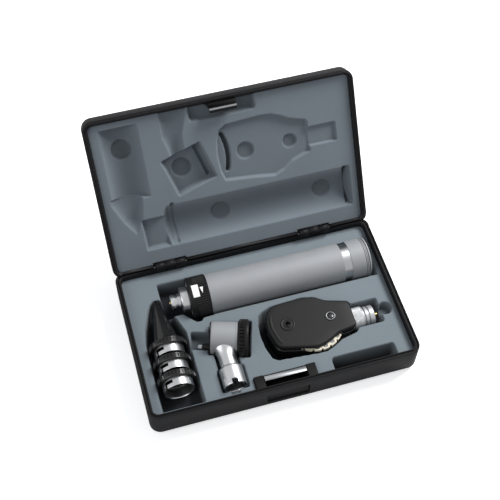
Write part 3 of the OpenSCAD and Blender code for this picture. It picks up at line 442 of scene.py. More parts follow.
baseTray = {"top": 20.7, "slope": 13.0, "foot": 5.0, "lip": 5.0, "blend": 0.8, "step": 0.52,
            "fullShadeDepth": 16.0}
baseTrough = {"radius": 15.15, "flareFrom": 15.1, "flareHeight": 15.9, "flareSlope": 2.05, "start": 13.7,
              "end": 92.7, "lip": 1.6}
basePockets = {
    "spigot": {"local": lambda x, y: (x - handleAt["x"], y - handleAt["y"]), "corner": 0.9, "floor": 4.2,
               "outline": [(-6.7, -11), (7, -11.2), (14.9, -19.7), (18.9, -19.8), (20.7, -17.6), (29, -17.5),
                           (29, 18.6), (-6.7, 18.6)]},
    "specula": {"local": lambda x, y: (x - speculaAt["x"], y - speculaAt["y"]), "corner": 0.5, "floor": 5.0,
                "outline": [(-15.1, -13.1), (15.6, -13.1), (15.6, 43.4), (11.1, 57), (9.6, 59), (4.2, 59),
                            (4.2, 73), (1.7, 75.1), (-2.3, 75.1), (-5, 72.8), (-7.5, 67.9), (-10.9, 58.9),
                            (-12.9, 53.2), (-15.1, 41.9)]},
    "barrel": {"local": headLocal, "box": (-1.6, 21.6, -13.6, 13.6), "corner": 1.5, "floor": 7.9},
    "magnifier": {"local": headLocal, "box": (20.4, 29.1, -14.8, 14.8), "corner": 1.5, "floor": 5.8},
    "barrelEnd": {"local": headLocal, "box": (-15, 2, -9.7, 4.7), "corner": 1.5, "floor": 12.2},
    "stem": {"box": (stemX - 8.4, stemX + 8.4, -44, -18), "corner": 1.0, "floor": 11.4},
    "socket": {"box": (stemX - 10, stemX + 10, -51.2, -33), "corner": 1.5, "floor": 11.4},
    "socketEnd": {"box": (stemX - 4.2, stemX + 2.6, -54, -48), "corner": 0.8, "depth": 2.4, "foot": 1.5,
                  "lip": 1.5},
    "viewer": {"local": viewerLocal, "corner": 1.0, "floor": 4.9,
               "outline": [(-39.5, 0.2), (-38.6, -10), (-36, -19), (-32.6, -21.6), (-24.8, -22.2),
                           (-3.3, -23.9), (3.5, -23.9), (10, -21.3), (16.5, -17.6), (28.6, -15.1),
                           (31.5, -12.4), (31.5, 8.4), (29.8, 11.1), (14.2, 15.9), (7.2, 20.9), (-1.9, 23),
                           (-26, 22), (-33.4, 19.1), (-36.5, 16.9), (-38.6, 11)]},
    "viewerNeck": {"box": (55, 83.4, -27.3, -7.1), "corner": 1.5, "floor": 4.9},
    "finger": {"centre": (87.1, -17.2), "radius": 5.2, "floor": 12.7},
    "spare": {"box": (36, 83.2, -56.2, -45.4), "corner": 2.2, "floor": 4.2},
}


# Depth of the base tray below its face: a round trough for the handle, flared to the face, and its pockets
def baseDepth(x, y):
    g = baseTrough
    dy = np.abs(y - handleAt["y"])
    bowl = handleAt["z"] - np.sqrt(np.maximum(g["radius"] ** 2 - dy ** 2, 0))
    low = np.minimum(bowl, g["flareHeight"] + g["flareSlope"] * np.maximum(dy - g["flareFrom"], 0))
    ends = np.maximum(handleAt["x"] + g["start"] - x, x - g["end"])
    trough = smoothMax(0.0 * x, np.minimum(baseTray["top"] - low, -ends * baseTray["slope"]), g["lip"])
    pockets = [trayPocket(x, y, entry, baseTray) for entry in basePockets.values()]
    return deepest([trough] + pockets, baseTray["blend"])


lidTray = {"top": 28.0, "slope": 5.0, "foot": 2.0, "lip": 2.2, "blend": 0.6, "step": 0.52, "fullShadeDepth": 24.0,
           "deepest": 10.05, "knobShade": 0.1}
lidTrough = {"y": 29.2, "radius": 19.08, "depth": 9.0, "start": -47.0, "end": 90.0, "lip": 1.2}
lidBulge = {"x": -49, "reach": 8.3, "y": 29, "halfWidth": 19, "rampEnd": -50.6, "shortestRamp": 0.5,
            "end": -45.5, "power": 0.8}
lidChannel = {"x": -74.5, "radius": 16.8, "aboveFace": 9.0, "start": -52.3, "end": 3.2, "lip": 1.2}
lidCones = {"x": -75.6, "left": ([2, 5, 19.6, 30], [14.2, 14.0, 7.3, 0.4]),
            "right": ([2, 18.8, 30], [9.3, 6.2, 0.4]), "crown": ([2, 19, 30], [7.4, 5.4, 0.6]),
            "start": -1, "fadeIn": 3, "end": 30.5}
lidStem = {"left": ([-57, -37.8, -29.4, -20], [-44.7, -44.9, -42.4, -41]),
           "right": ([-57.5, -37.4, -20], [-24.1, -30.5, -31]), "depth": 4.8, "end": -19, "lip": 1.0}
lidPockets = {
    "endSlot": {"box": (84.0, 89.0, 12.6, 44.6), "corner": 1, "depth": 9.3},
    "leftSlot": {"box": (-48.6, -45.2, 11.4, 45.0), "corner": 1.6, "slope": 9, "foot": 1.0, "lip": 1.0,
                 "leastDepth": 3.0, "leastBlend": 2, "pastTrough": 0.9},
    "spigot": {"box": (-71, -52, 20.2, 45), "corner": 1.5, "depth": 4.6, "slope": 3.5},
    "otoscope": {"local": headLocal, "box": (-2.6, 29.2, -15.2, 15.2), "corner": 1.2, "depth": 6.9},
    "magnifier": {"local": headLocal, "box": (22.0, 27.0, -15.1, 14.0), "corner": 1.6, "depth": 9.0,
                  "slope": 7.0, "foot": 1.2, "lip": 1.2},
    "viewer": {"local": viewerLocal, "corner": 0.8, "depth": 3.5,
               "outline": [(-40, 0.2), (-39, -10), (-36.6, -19), (-31, -22.8), (-4.3, -24.2), (4, -23.4),
                           (11.2, -20.5), (15.7, -17.8), (28.3, -13.9), (29.5, -12.4), (29.5, 10.6),
                           (15.7, 15.5), (8.5, 20.9), (1.3, 24), (-14, 21.8), (-36.5, 19.5), (-39, 12)]},
    "viewerSlot": {"local": viewerLocal, "bend": 0.012, "box": (-33.6, -29.2, -17.2, 14.0), "corner": 2.1,
                   "depth": 9.0, "slope": 9.0, "foot": 1.0, "lip": 1.0},
    "viewerNeck": {"local": viewerLocal, "box": (28, 50.6, -8, 7), "corner": 1.5, "depth": 2.7, "foot": 1.2,
                   "lip": 1.2},
    "latch": {"box": (-24.0, 25.4, -58.6, -45.0), "corner": 3.5, "depth": 5.6, "slope": 4.0},
}


# Height of the lid tray above its face, drawn with the lid closed
def lidDepth(x, y):
    def room(name, **changed):
        return trayPocket(x, y, {**lidPockets[name], **changed}, lidTray)

    # handle trough, and the bulge that ramps down to the slot at its left
    g = lidTrough
    bow = np.sqrt(np.maximum(g["radius"] * g["radius"] - (y - g["y"]) ** 2, 0)) + g["depth"] - g["radius"]
    ends = np.maximum(g["start"] - x, x - g["end"])
    trough = smoothMax(0.0 * x, np.minimum(bow, -ends * lidTray["slope"]), g["lip"])
    slot = lidPockets["leftSlot"]
    slotDepth = smoothMax(bow, slot["leastDepth"], slot["leastBlend"]) + slot["pastTrough"]
    g = lidBulge
    edge = g["x"] - g["reach"] * (1 - ((y - g["y"]) / g["halfWidth"]) ** 2)
    ramp = np.clip((x - edge) / np.maximum(g["rampEnd"] - edge, g["shortestRamp"]), 0, 1) * (x < g["end"])
    bulge = np.maximum(bow, 0) * ramp ** g["power"]
    # specula channel, and its taper over the cones
    g = lidChannel
    bow = np.sqrt(np.maximum(g["radius"] ** 2 - (x - g["x"]) ** 2, 0)) - g["aboveFace"]
    ends = np.maximum(g["start"] - y, y - g["end"])
    channel = smoothMax(0.0 * x, np.minimum(bow, -ends * lidTray["slope"]), g["lip"])
    g = lidCones
    half = np.where(x < g["x"], np.interp(y, *g["left"]), np.interp(y, *g["right"]))
    crown = np.interp(y, *g["crown"])
    taper = eased((y - g["start"]) / g["fadeIn"])
    cones = crown * np.sqrt(np.maximum(1 - ((x - g["x"]) / half) ** 2, 0)) * taper
    # channel over the otoscope's stem, an arch between its two sides
    g = lidStem
    left, right = np.interp(y, *g["left"]), np.interp(y, *g["right"])
    across = 1 - ((2 * x - left - right) / (right - left)) ** 2
    arch = g["depth"] * np.sqrt(np.maximum(across, 0))
    stem = smoothMax(0.0 * x, np.minimum(arch, (g["end"] - y) * lidTray["slope"]), g["lip"])
    parts = [trough, room("endSlot"), room("leftSlot", depth=slotDepth), bulge, room("spigot"), channel,
             cones * (y < lidCones["end"]), room("otoscope"), room("magnifier"), stem, room("viewer"),
             room("viewerSlot"), room("viewerNeck"), room("latch")]
    return np.minimum(deepest(parts, lidTray["blend"]) + lidKnobs(x, y), lidTray["deepest"])


# Round steps over the knobs: the frame, the centre, the radius, the rise and the width of the wall
knobSteps = [("case", -10.8, 29.2, 7.2, 1.7, 1.1), ("case", 68.4, 29.2, 7.2, 1.7, 1.1),
             ("case", -74.5, -33.9, 7.4, 2.2, 1.2), ("otoscope", 9, -2, 7.2, 2.2, 1.2),
             ("viewer", -18.5, 0.7, 6.2, 1.9, 1.2), ("viewer", 15.3, 0.5, 5.1, 1.9, 1.2)]


def lidKnobs(x, y):
    places = {"case": (x, y), "otoscope": headLocal(x, y), "viewer": viewerLocal(x, y)}
    return sum(disc(*places[which], *step) for which, *step in knobSteps)


# Points drawn with the lid closed, turned about the hinge axis to the open lid
def openLid(points):
    at = np.array([0.0, lidHinge["y"], lidHinge["z"]])
    p = np.asarray(points, float) - at
    c, s = math.cos(lidHinge["turn"]), math.sin(lidHinge["turn"])
    return np.stack([p[..., 0], p[..., 1] * c - p[..., 2] * s, p[..., 1] * s + p[..., 2] * c], -1) + at


sheetEdge = {"halfWidth": 95.2, "halfDepth": 57.0, "corner": 4.2, "turned": 0.75}


# A tray is its depth over a grid of the plan, with corners drawn in to their arc, openings left out and a
# turned edge
def trayPiece(name, depthAt, up, settings, holes, body, material, node, lid=False):
    w, d, r = valuesOf(sheetEdge, "halfWidth halfDepth corner")
    nx, ny = int(2 * w / settings["step"]), int(2 * d / settings["step"])
    xs, ys = np.linspace(-w, w, nx), np.linspace(-d, d, ny)
    for hole in holes:
        for side in hole[:2]:
            xs[np.argmin(abs(xs - side))] = side
        for side in hole[2:]:
            if abs(side) < d:
                ys[np.argmin(abs(ys - side))] = side
    x, y = np.meshgrid(xs, ys, indexing="ij")
    depth = depthAt(x, y)
    z = settings["top"] + up * depth
    cx, cy = np.maximum(abs(x) - (w - r), 0), np.maximum(abs(y) - (d - r), 0)
    out = np.hypot(cx, cy)
    pull = np.where(out > r, r / np.maximum(out, 1e-9), 1.0)
    x = np.sign(x) * (np.minimum(abs(x), w - r) + cx * pull)
    y = np.sign(y) * (np.minimum(abs(y), d - r) + cy * pull)
    points = np.stack([x, y, z], -1).reshape(-1, 3)
    faces = gridFaces(nx, ny)
    mid = points[faces].mean(1)
    keep = np.ones(len(faces), bool)
    for x0, x1, y0, y1 in holes:
        keep &= ~((mid[:, 0] > x0) & (mid[:, 0] < x1) & (mid[:, 1] > y0) & (mid[:, 1] < y1))
    faces = faces[keep]
    edges = np.concatenate([faces[:, [i, (i + 1) % 4]] for i in range(4)])
    _, first, count = np.unique(np.sort(edges, axis=1), axis=0, return_index=True, return_counts=True)
    border = edges[first[count == 1]]
    ids = np.unique(border)
    new = np.zeros(len(points), int)
    new[ids] = len(points) + np.arange(len(ids))
    low = points[ids] + np.array([0, 0, up * sheetEdge["turned"]])
    skirt = np.stack([border[:, 1], border[:, 0], new[border[:, 0]], new[border[:, 1]]], -1)
    # Painted shade: the flock darkens in proportion to the depth of its pockets, and over the lid's knobs as
    # well
    drawn = depth / settings["fullShadeDepth"]
    if lid:
        drawn = drawn + settings["knobShade"] * lidKnobs(x, y)
    drawn = np.clip(drawn.reshape(-1), 0, 1)
    drawn = np.concatenate([drawn, drawn[ids]])
    points = np.concatenate([points, low])
    if lid:
        points = openLid(points)
        faces, skirt = faces[:, ::-1], skirt[:, ::-1]
    obj = meshPiece(name, points, np.concatenate([faces, skirt]), body, material, [node])
    layer = obj.data.attributes.new("drawn", "FLOAT", "POINT")
    layer.data.foreach_set("value", drawn)
    return obj


trayPiece("baseTraySheet", baseDepth, -1, baseTray, [(-22.0, 23.4, -60, -45.9)], "base", flock, "base_tray")
lidHoles = [(-10.4, 11.8, -60, -54.0)] + [(s * 56.3 - 12.7, s * 56.3 + 12.7, 55.5, 60) for s in (-1, 1)]
trayPiece("lidTraySheet", lidDepth, 1, lidTray, lidHoles, "lid", lidFlock, "lid_tray", True)
print("trays made")

# Shells and latch: the CAD forms with their sharp edges rounded
softEdges = {"shell": 0.55, "latch": 0.3, "metal": 0.12}
softened("baseShellSkin", "base_shell", softEdges["shell"], "base", casePlastic)
softened("lidShellSkin", "lid_shell", softEdges["shell"], "lid", casePlastic)
softened("latchBlocks", "latch_frame", softEdges["latch"], "base", latchPlastic)
softened("pushPlate", "latch_push_plate", softEdges["latch"], "latch", casePlastic)
softened("keeperHousing", "keeper_block", softEdges["latch"], "lid", latchPlastic)
softened("strikeMetal", "strike_strip", softEdges["metal"], "latch", brightSteel)


# A bar along X from an outline of (y, z) points drawn with the lid closed; its ends are drawn in by edge
def lidBar(name, outline, x0, x1, edge, material, slotName, stands=()):
    p = np.asarray(outline, float)
    mid = p.mean(0)
    shrink = 1 - edge / np.abs(p - mid).max(0)
    rows = [(x0, 0.0), (x0, shrink), (x0 + edge, 1.0), (x1 - edge, 1.0), (x1, shrink), (x1, 0.0)]
    layers = [np.concatenate([np.full((len(p), 1), x), mid + (p - mid) * k], 1) for x, k in rows]
    faces = gridFaces(len(rows), len(p), False, True)
    obj = meshPiece(name, openLid(np.stack(layers)), faces, "lid", material, stands)
    return sharpen(pointOutwards(obj), 30)


# Corners of a rectangle in the plane of Y and Z
def rectOutline(y0, y1, z0, z1):
    return [(y0, z0), (y1, z0), (y1, z1), (y0, z1)]


# Keeper: a bright lip, and behind it the reach and web of the plate in black plastic, painted shade for the
# shaded slot behind the lip
keeper = {"x0": -9.2, "x1": 10.6, "y": -53.9, "lipY": -52.8, "webY": -53.1, "hookY": -50.7, "z": 21.2,
          "hookZ": 22.0, "reachRise": 0.1, "top": 30.0, "edge": 0.15}


def keeperPlate():
    y, lipY, webY, hookY, z, hookZ, top = valuesOf(keeper, "y lipY webY hookY z hookZ top")
    span = valuesOf(keeper, "x0 x1 edge")
    lidBar("keeperMetal", rectOutline(y, lipY, z, hookZ), *span, brightSteel, "steel", ["keeper_plate"])
    lidBar("keeperReach", rectOutline(lipY, hookY, z + keeper["reachRise"], hookZ), *span, latchPlastic,
           "latch_plastic")
    lidBar("keeperWeb", rectOutline(y, webY, hookZ, top), *span, latchPlastic, "latch_plastic")


keeperPlate()
print("shells and latch made")

handleStart = (handleAt["x"], handleAt["y"], handleAt["z"])

# Rheostat ring: a smooth lip on the spigot side, then ribs along the axis
rheostat = {"start": 13.7, "end": 28.1, "bore": 12.65, "lip": 15.4, "lipEnd": 17.4, "rib": 15.35,
            "ribDepth": 0.55, "ribs": 56, "stepsPerRib": 8}


def rheostatProfile():
    start, end, bore, lip, rib, lipEnd = valuesOf(rheostat, "start end bore lip rib lipEnd")
    return finer([(start, bore), (start, lip - 0.7), (start + 0.2, lip - 0.2), (start + 0.7, lip),
                  (lipEnd - 0.2, lip), (lipEnd, lip - 0.25), (lipEnd + 0.3, lip - 0.25), (lipEnd + 0.5, rib),
                  (end - 0.4, rib), (end, rib - 0.4), (end, bore)], 0.9)


def rheostatRelief(s, a):
    wave = 0.5 - 0.5 * np.cos(a * rheostat["ribs"])
    return -rheostat["ribDepth"] * wave * bandMask(s, rheostat["lipEnd"] + 0.3, rheostat["end"] - 0.3, 0.5)


turned("rheostatGrip", handleStart, alongX, rheostatProfile(), "rheostat", blackPlastic,
       ["rheostat_ring"], rheostat["ribs"] * rheostat["stepsPerRib"], rheostatRelief)

# Neck of the handle: the spigot with a groove round it, then the smooth shoulder
neck = {"bore": 2.4, "spigot": 5.6, "spigotEnd": 7.4, "shoulder": 9.6, "end": 13.4, "hidden": 14.0}


def neckProfile():
    bore, spigot, spigotEnd = valuesOf(neck, "bore spigot spigotEnd")
    shoulder, end, hidden = valuesOf(neck, "shoulder end hidden")
    return finer([(0, bore), (0, 4.9), (0.25, 5.4), (0.7, spigot), (3.3, spigot), (3.4, 5.5), (3.4, 4.6),
                  (5.2, 4.6), (5.2, 5.5), (5.3, spigot), (spigotEnd - 0.2, spigot), (spigotEnd, 5.8),
                  (spigotEnd, 8.6), (7.7, 9.3), (8.4, shoulder), (end - 0.4, shoulder), (end, 9.2),
                  (end, 7.0), (hidden, 7.0), (hidden, bore)], 0.8)


turned("neckBarrel", handleStart, alongX, neckProfile(), "handle", chrome, ["handle_neck"], 160)

# Polished band let into the tube
band = {"start": 130.9, "end": 136.8, "inner": 14.0, "outer": 14.36}
bandProfile = [(band["start"], band["inner"]), (band["start"], band["outer"]), (band["end"], band["outer"]),
               (band["end"], band["inner"])]
turned("polishedBand", handleStart, alongX, bandProfile, "handle", polished, (), 128)

# Cap: two bright ridges, a dark groove and the last ring, with its plug inside the tube
cap = {"start": 143.7, "plug": 13.4, "flange": 148.0, "valley": 14.4, "ridge": 14.75, "groove": 13.9,
       "last": 14.7, "end": 152.0}


def capProfile():
    start, plug, flange, end = valuesOf(cap, "start plug flange end")
    valley, ridge, groove, last = valuesOf(cap, "valley ridge groove last")
    return finer([(start, 0.0), (start, plug), (flange, plug), (flange, valley), (148.15, ridge),
                  (148.7, ridge), (148.85, valley), (149.05, valley), (149.2, ridge), (149.75, ridge),
                  (149.9, 14.3), (150.0, groove), (150.45, groove), (150.5, valley), (150.7, last),
                  (151.1, last), (151.6, valley), (151.9, 13.8), (end, 13.2), (end, 0.0)], 1.6)


turned("capRings", handleStart, alongX, capProfile(), "cap", satinMetal, ["handle_cap"], 128)
print("handle made")

# Specula: a chrome collar with a hooked slot, a ring of small blocks and a glossy cone
specula = {"collar": 11.0, "collarProud": 0.02, "collarWall": 0.8, "collarEnd": 7.9, "ring": 13.7,
           "ringStart": 6.0, "ringEnd": 10.6, "ringBore": 11.05, "cone": 9.6, "coneStart": 8.0, "tip": 2.0,
           "end": 48.1, "wall": 0.8, "blocks": 36, "blockDepth": 0.7, "blockStart": 6.9, "blockEnd": 9.7,
           "stepsPerBlock": 10, "slotAt": math.radians(52), "slotWidth": 2.6, "hookStart": 2.7,
           "hookEnd": 5.2, "hookReach": 6.5}


def blockRelief(s, a):
    cut = eased((np.cos(a * specula["blocks"]) - 0.1) / 0.35)
    return -specula["blockDepth"] * cut * bandMask(s, specula["blockStart"], specula["blockEnd"], 0.25)


# Ring and cone: the ring's foot, its rim in short lengths for the blocks, then the cone out and back inside
def coneProfile():
    ring, ringStart, ringEnd, ringBore = valuesOf(specula, "ring ringStart ringEnd ringBore")
    cone, coneStart, tip, end, wall = valuesOf(specula, "cone coneStart tip end wall")
    foot = finer([(ringStart, ringBore), (ringStart, ring - 0.7), (6.15, ring - 0.2), (6.5, ring)], 1.0)
    rim = finer([(6.5, ring), (10.1, ring)], 0.2)
    body = finer([(10.1, ring), (10.45, ring - 0.2), (ringEnd, ring - 0.7), (ringEnd, 10.3), (10.9, 9.8),
                  (11.6, 9.45), (end - 0.4, tip + 0.1), (end, tip - 0.3), (end, tip - wall),
                  (ringEnd, cone - wall), (coneStart, cone - wall), (coneStart, ringBore)], 3.0)
    return foot + rim[1:] + body[1:]


# Collar: a thin tube with a rounded rim, given its wall inwards, whose hooked slot is left out of its faces
def collarPiece(name, start, body, node):
    g = specula
    r = g["collar"] + g["collarProud"]
    s = np.unique(np.concatenate([np.linspace(0.25, g["collarEnd"], 32), [g["hookStart"], g["hookEnd"]]]))
    slotFrom = g["slotAt"] - g["slotWidth"] / 2 / r
    slotTo = g["slotAt"] + g["slotWidth"] / 2 / r
    hookFrom = g["slotAt"] - g["hookReach"] / r
    a = np.linspace(0, 2 * math.pi, 361)[:-1]
    for edge in (slotFrom, slotTo, hookFrom):
        a[np.argmin(abs(a - edge))] = edge
    rows = np.concatenate([[0.0, 0.08], s])
    radii = np.concatenate([[r - 0.25, r - 0.08], np.full(len(s), r)])
    points, faces, i, j = tubeGrid(start, alongY, rows, radii, a)
    midS = (rows[i] + rows[i + 1]) / 2
    midA = a[j] + 0.001
    slot = (midA > slotFrom) & (midA < slotTo) & (midS < g["hookEnd"])
    hook = (midA > hookFrom) & (midA < slotTo) & (midS > g["hookStart"]) & (midS < g["hookEnd"])
    obj = meshPiece(name, points, faces[~(slot | hook)], body, chrome, [node])
    return sharpen(walled(obj, g["collarWall"]), 40)


for index, place in enumerate(("front", "middle", "back")):
    speculumStart = (speculaAt["x"], speculaAt["y"] + index * speculaAt["pitch"], speculaAt["z"])
    turned("coneAndRing" + place.capitalize(), speculumStart, alongY, coneProfile(), "speculum_" + place,
           glossBlack, ["speculum_cone_" + place],
           specula["blocks"] * specula["stepsPerBlock"], blockRelief)
    collarPiece("collar" + place.capitalize(), speculumStart, "speculum_" + place, "speculum_collar_" + place)
print("specula made")

# Otoscope head: barrel, toothed magnifier grip, socket shell and the neck that runs into the barrel
headDirection = (math.cos(headAt["turn"]), math.sin(headAt["turn"]), 0)
headStart = (headAt["x"], headAt["y"], headAt["z"])
barrel = {"outer": 12.0, "bore": 10.8, "ledge": 10.0, "tube": 8.6, "ledgeAt": 19.2, "end": 23.8,
          "boreEnd": 18.2}


def barrelProfile():
    outer, bore, ledge, tube = valuesOf(barrel, "outer bore ledge tube")
    ledgeAt, end, boreEnd = valuesOf(barrel, "ledgeAt end boreEnd")
    return finer([(0.0, bore), (0.0, 11.2), (0.2, 11.65), (0.65, 11.95), (1.2, outer), (17.6, outer),
                  (17.75, 11.82), (17.9, outer), (18.9, outer), (ledgeAt, 11.7), (ledgeAt, ledge),
                  (end, ledge), (end, tube), (boreEnd, tube), (boreEnd, bore)], 2.0)


turned("otoscopeTube", headStart, headDirection, barrelProfile(), "otoscope", satinMetal,
       ["otoscope_barrel"], 144)
magnifier = {"start": 19.6, "end": 27.2, "outer": 14.1, "bore": 10.05, "lens": 9.4, "lensAt": 24.2,
             "teeth": 34, "toothDepth": 1.4, "toothStart": 20.6, "toothEnd": 24.3, "stepsPerTooth": 12}


def gripProfile():
    start, end, outer, bore, lens, lensAt = valuesOf(magnifier, "start end outer bore lens lensAt")
    return finer([(start, bore), (start, 12.3), (19.9, 12.9), (20.6, 13.9), (21.2, outer), (24.6, outer),
                  (24.8, 13.95), (25.0, outer), (26.3, outer), (26.9, 13.8), (end, 13.1), (end, lens),
                  (lensAt, lens), (lensAt, bore)], 0.5)


def gripRelief(s, a):
    g = magnifier
    phase = (a * g["teeth"] / (2 * math.pi)) % 1.0
    tooth = eased(phase / 0.35) * eased((1 - phase) / 0.35)
    return -g["toothDepth"] * tooth * bandMask(s, g["toothStart"], g["toothEnd"], 0.5)


turned("magnifierGrip", headStart, headDirection, gripProfile(), "magnifier", blackPlastic,
       ["magnifier_ring"], magnifier["teeth"] * magnifier["stepsPerTooth"], gripRelief)

socket = {"below": 24.8, "length": 15.5, "outer": 8.6, "wall": 2.6, "notchHalf": 2.3, "notchEnd": 3.6,
          "neck": 6.5, "root": 8.4, "sink": 11.3, "overlap": 0.6}
socketY = headAt["stemY"] - socket["below"] - socket["length"]


# Outer wall of the socket with its notch left out, given a wall inwards
def socketShell():
    g = socket
    r = g["outer"]
    rows = np.array([0.0, 0.1, 0.35, 1.0, 2.2, g["notchEnd"], 5, 8, 11, 13.6, 14.4, 15.0, 15.35, g["length"]])
    radii = [8.2, 8.45, r, r, r, r, r, r, r, r, 8.5, 8.1, 7.6, 7.0]
    a = np.linspace(-math.pi, math.pi, 145)[:-1]
    half = g["notchHalf"] / r
    for edge in (-half, half):
        a[np.argmin(abs(a - edge))] = edge
    points, faces, i, j = tubeGrid((stemX, socketY, headAt["z"]), alongY, rows, radii, a)
    notch = (a[j] > -half - 0.001) & (a[j] < half - 0.001) & (rows[i] < g["notchEnd"] - 0.01)
    obj = meshPiece("socketShell", points, faces[~notch], "otoscope", chrome, ["otoscope_socket"])
    return sharpen(walled(obj, g["wall"]), 40)


# Neck: rows run from the socket to the curve where a tube of its width meets the barrel, and flare there
def neckToBarrel():
    g = socket
    steps = 96
    a = np.linspace(0, 2 * math.pi, steps, endpoint=False)
    t = np.linspace(0, 1, 22)
    radius = g["neck"] + (g["root"] - g["neck"]) * np.clip((t - 0.45) / 0.55, 0, 1) ** 2.2
    turn = headAt["turn"]
    across = radius[-1] * np.sin(a)
    deep = np.sqrt(g["sink"] ** 2 - (radius[-1] * np.cos(a)) ** 2)
    reach = (deep - across * math.sin(-turn)) / math.cos(turn)
    yEnd = headAt["stemY"] - reach
    yStart = socketY + g["length"] - g["overlap"]
    rr, aa = np.meshgrid(radius, a, indexing="ij")
    y = yStart + (yEnd[None, :] - yStart) * t[:, None]
    points = np.stack([stemX - rr * np.sin(aa), y, headAt["z"] + rr * np.cos(aa)], -1)
    hub = np.array([[[stemX, yStart, headAt["z"]]]]).repeat(steps, 1)
    root = np.array([[[stemX, headAt["stemY"] - g["sink"] + 0.2, headAt["z"]]]]).repeat(steps, 1)
    points = np.concatenate([hub, points, root])
    faces = gridFaces(len(points), steps, False, True)
    return sharpen(pointOutwards(meshPiece("neckToBarrel", points, faces, "otoscope", chrome)), 40)


socketShell()
neckToBarrel()
print("otoscope head made")


# Ophthalmoscope head: its outline is the CAD one with blended corners, and each half is a closed surface
viewer = {"blend": 1.7, "spacing": 0.3, "eyeX": -18.8, "eyeY": 1.6, "hole": 1.9, "slotLow": 19.3,
          "slotHigh": 22.1, "edge": 1.5, "arcSteps": 7}
headOutline = [(-34, 0.6), (-31, -12), (-28.3, -15.1), (-3.3, -21.3), (2.8, -20), (9.1, -17.4), (14.5, -14.2),
               (27.9, -12.5), (29.7, -11.1), (29.7, 7.2), (28.8, 9.3), (13.2, 14), (6.5, 18.9), (-2.4, 20.9),
               (-24.8, 19.8), (-30.6, 15.8), (-33.3, 9.5)]


# Points at equal steps round a closed outline, averaged with their neighbours by a bell curve
def blendedOutline(outline, spacing, blend):
    p = np.asarray(outline + [outline[0]], float)
    lengths = np.concatenate([[0], np.cumsum(np.linalg.norm(np.diff(p, axis=0), axis=1))])
    count = int(lengths[-1] / spacing)
    at = np.linspace(0, lengths[-1], count, endpoint=False)
    q = np.stack([np.interp(at, lengths, p[:, k]) for k in (0, 1)], -1)
    step = lengths[-1] / count
    reach = int(4 * blend / step)
    weights = np.exp(-0.5 * (np.arange(-reach, reach + 1) * step / blend) ** 2)
    return sum(w * np.roll(q, k, axis=0) for k, w in zip(range(-reach, reach + 1), weights)) / weights.sum()


outlinePoints = blendedOutline(headOutline, viewer["spacing"], viewer["blend"])
tangent = np.roll(outlinePoints, -1, axis=0) - np.roll(outlinePoints, 1, axis=0)
tangent = tangent / np.linalg.norm(tangent, axis=1)[:, None]
inwards = np.stack([-tangent[:, 1], tangent[:, 0]], -1)
eyeAt = np.array([viewer["eyeX"], viewer["eyeY"]])
viewCentre = np.array([viewAt["x"], viewAt["y"]])


# Rows are (share, inset, height): share 0 is the round hole, share 1 the outline drawn in by inset
def housingPiece(name, rows, body, material, node):
    toOutline = outlinePoints - eyeAt
    unit = toOutline / np.linalg.norm(toOutline, axis=1)[:, None]
    layers = []
    for share, inset, z in rows:
        outer = outlinePoints + inset * inwards
        inner = eyeAt + viewer["hole"] * unit
        xy = inner * (1 - share) + outer * share + viewCentre
        layers.append(np.concatenate([xy, np.full((len(xy), 1), z)], -1))
    faces = gridFaces(len(rows), len(unit), True, True)
    obj = meshPiece(name, np.stack(layers), faces, body, material, [node])
    return sharpen(pointOutwards(obj), 32)


# Cover: up its wall, round the edge in a quarter circle, and in over the face to the hole
def coverRows():
    edge, seam, face = viewer["edge"], viewer["slotHigh"], viewAt["face"]
    turns = np.linspace(0.0, math.pi / 2, viewer["arcSteps"])
    arc = [(1, edge * (1 - math.cos(t)), face - edge * (1 - math.sin(t))) for t in turns]
    over = [(share, edge, face) for share in (0.8, 0.5, 0.2, 0)]
    return [(0, 0, seam), (0.5, 0, seam), (1, 0.4, seam), (1, 0, seam + 0.4)] + arc + over


# Housing below the seam: a rounded foot, the wall, and the slot that the lens wheel shows in
def bodyRows():
    low, slot, seam = viewAt["low"], viewer["slotLow"], viewer["slotHigh"] - 0.02
    return [(0, 0, low), (0.5, 0, low), (1, 2, low), (1, 0.6, low + 0.6), (1, 0, low + 2), (1, 0, slot - 0.3),
            (1, 0.3, slot), (1, 1.2, slot), (1, 1.2, seam), (0, 0, seam)]


housingPiece("viewerLid", coverRows(), "viewer", blackPlastic, "viewer_cover")
housingPiece("viewerHousing", bodyRows(), "viewer", glossBlack, "viewer_body")

# Viewing ring: a shallow dished ring round the hole
eyeStart = (viewAt["x"] + viewer["eyeX"], viewAt["y"] + viewer["eyeY"], viewAt["face"])
ringSection = finer([(-1.5, 1.9), (-1.5, 4.4), (0.02, 5.2), (0.35, 5.3), (0.55, 5.0), (0.55, 4.4),
                     (0.25, 3.6), (0.3, 3.0), (0.75, 2.6), (0.8, 2.2), (0.6, 1.9)], 0.5)
turned("viewingRing", eyeStart, upwards, ringSection, "viewer", blackPlastic,
       ["viewing_ring"], 96, edge=50)

# Dial: a glossy centre in a bright rim
dial = {"x": 13.0, "y": -0.1,
        "rim": [(-2.1, 2.3), (-2.1, 3.6), (0.4, 3.6), (0.85, 3.35), (0.95, 3.0), (0.7, 2.6), (0.3, 2.5)],
        "centre": [(-1.0, 0.0), (-1.0, 2.5), (0.25, 2.5), (0.5, 2.1), (0.62, 1.2), (0.66, 0.5), (0.66, 0.0)]}
dialStart = (viewAt["x"] + dial["x"], viewAt["y"] + dial["y"], viewAt["face"])
turned("dialRim", dialStart, upwards, finer(dial["rim"], 0.6), "selector", gunMetal,
       ["aperture_dial"], 80, edge=50)
turned("dialCentre", dialStart, upwards, dial["centre"], "selector", glossBlack, (), 64,
       edge=60)

brow = {"inset": 2.2, "insetEnd": 4.9, "height": 1.0, "sink": 0.3, "floor": 0.1, "turnX": 14, "from": -1.0,
        "to": 0.75, "taper": 0.18, "narrowest": 0.35, "columns": 13}


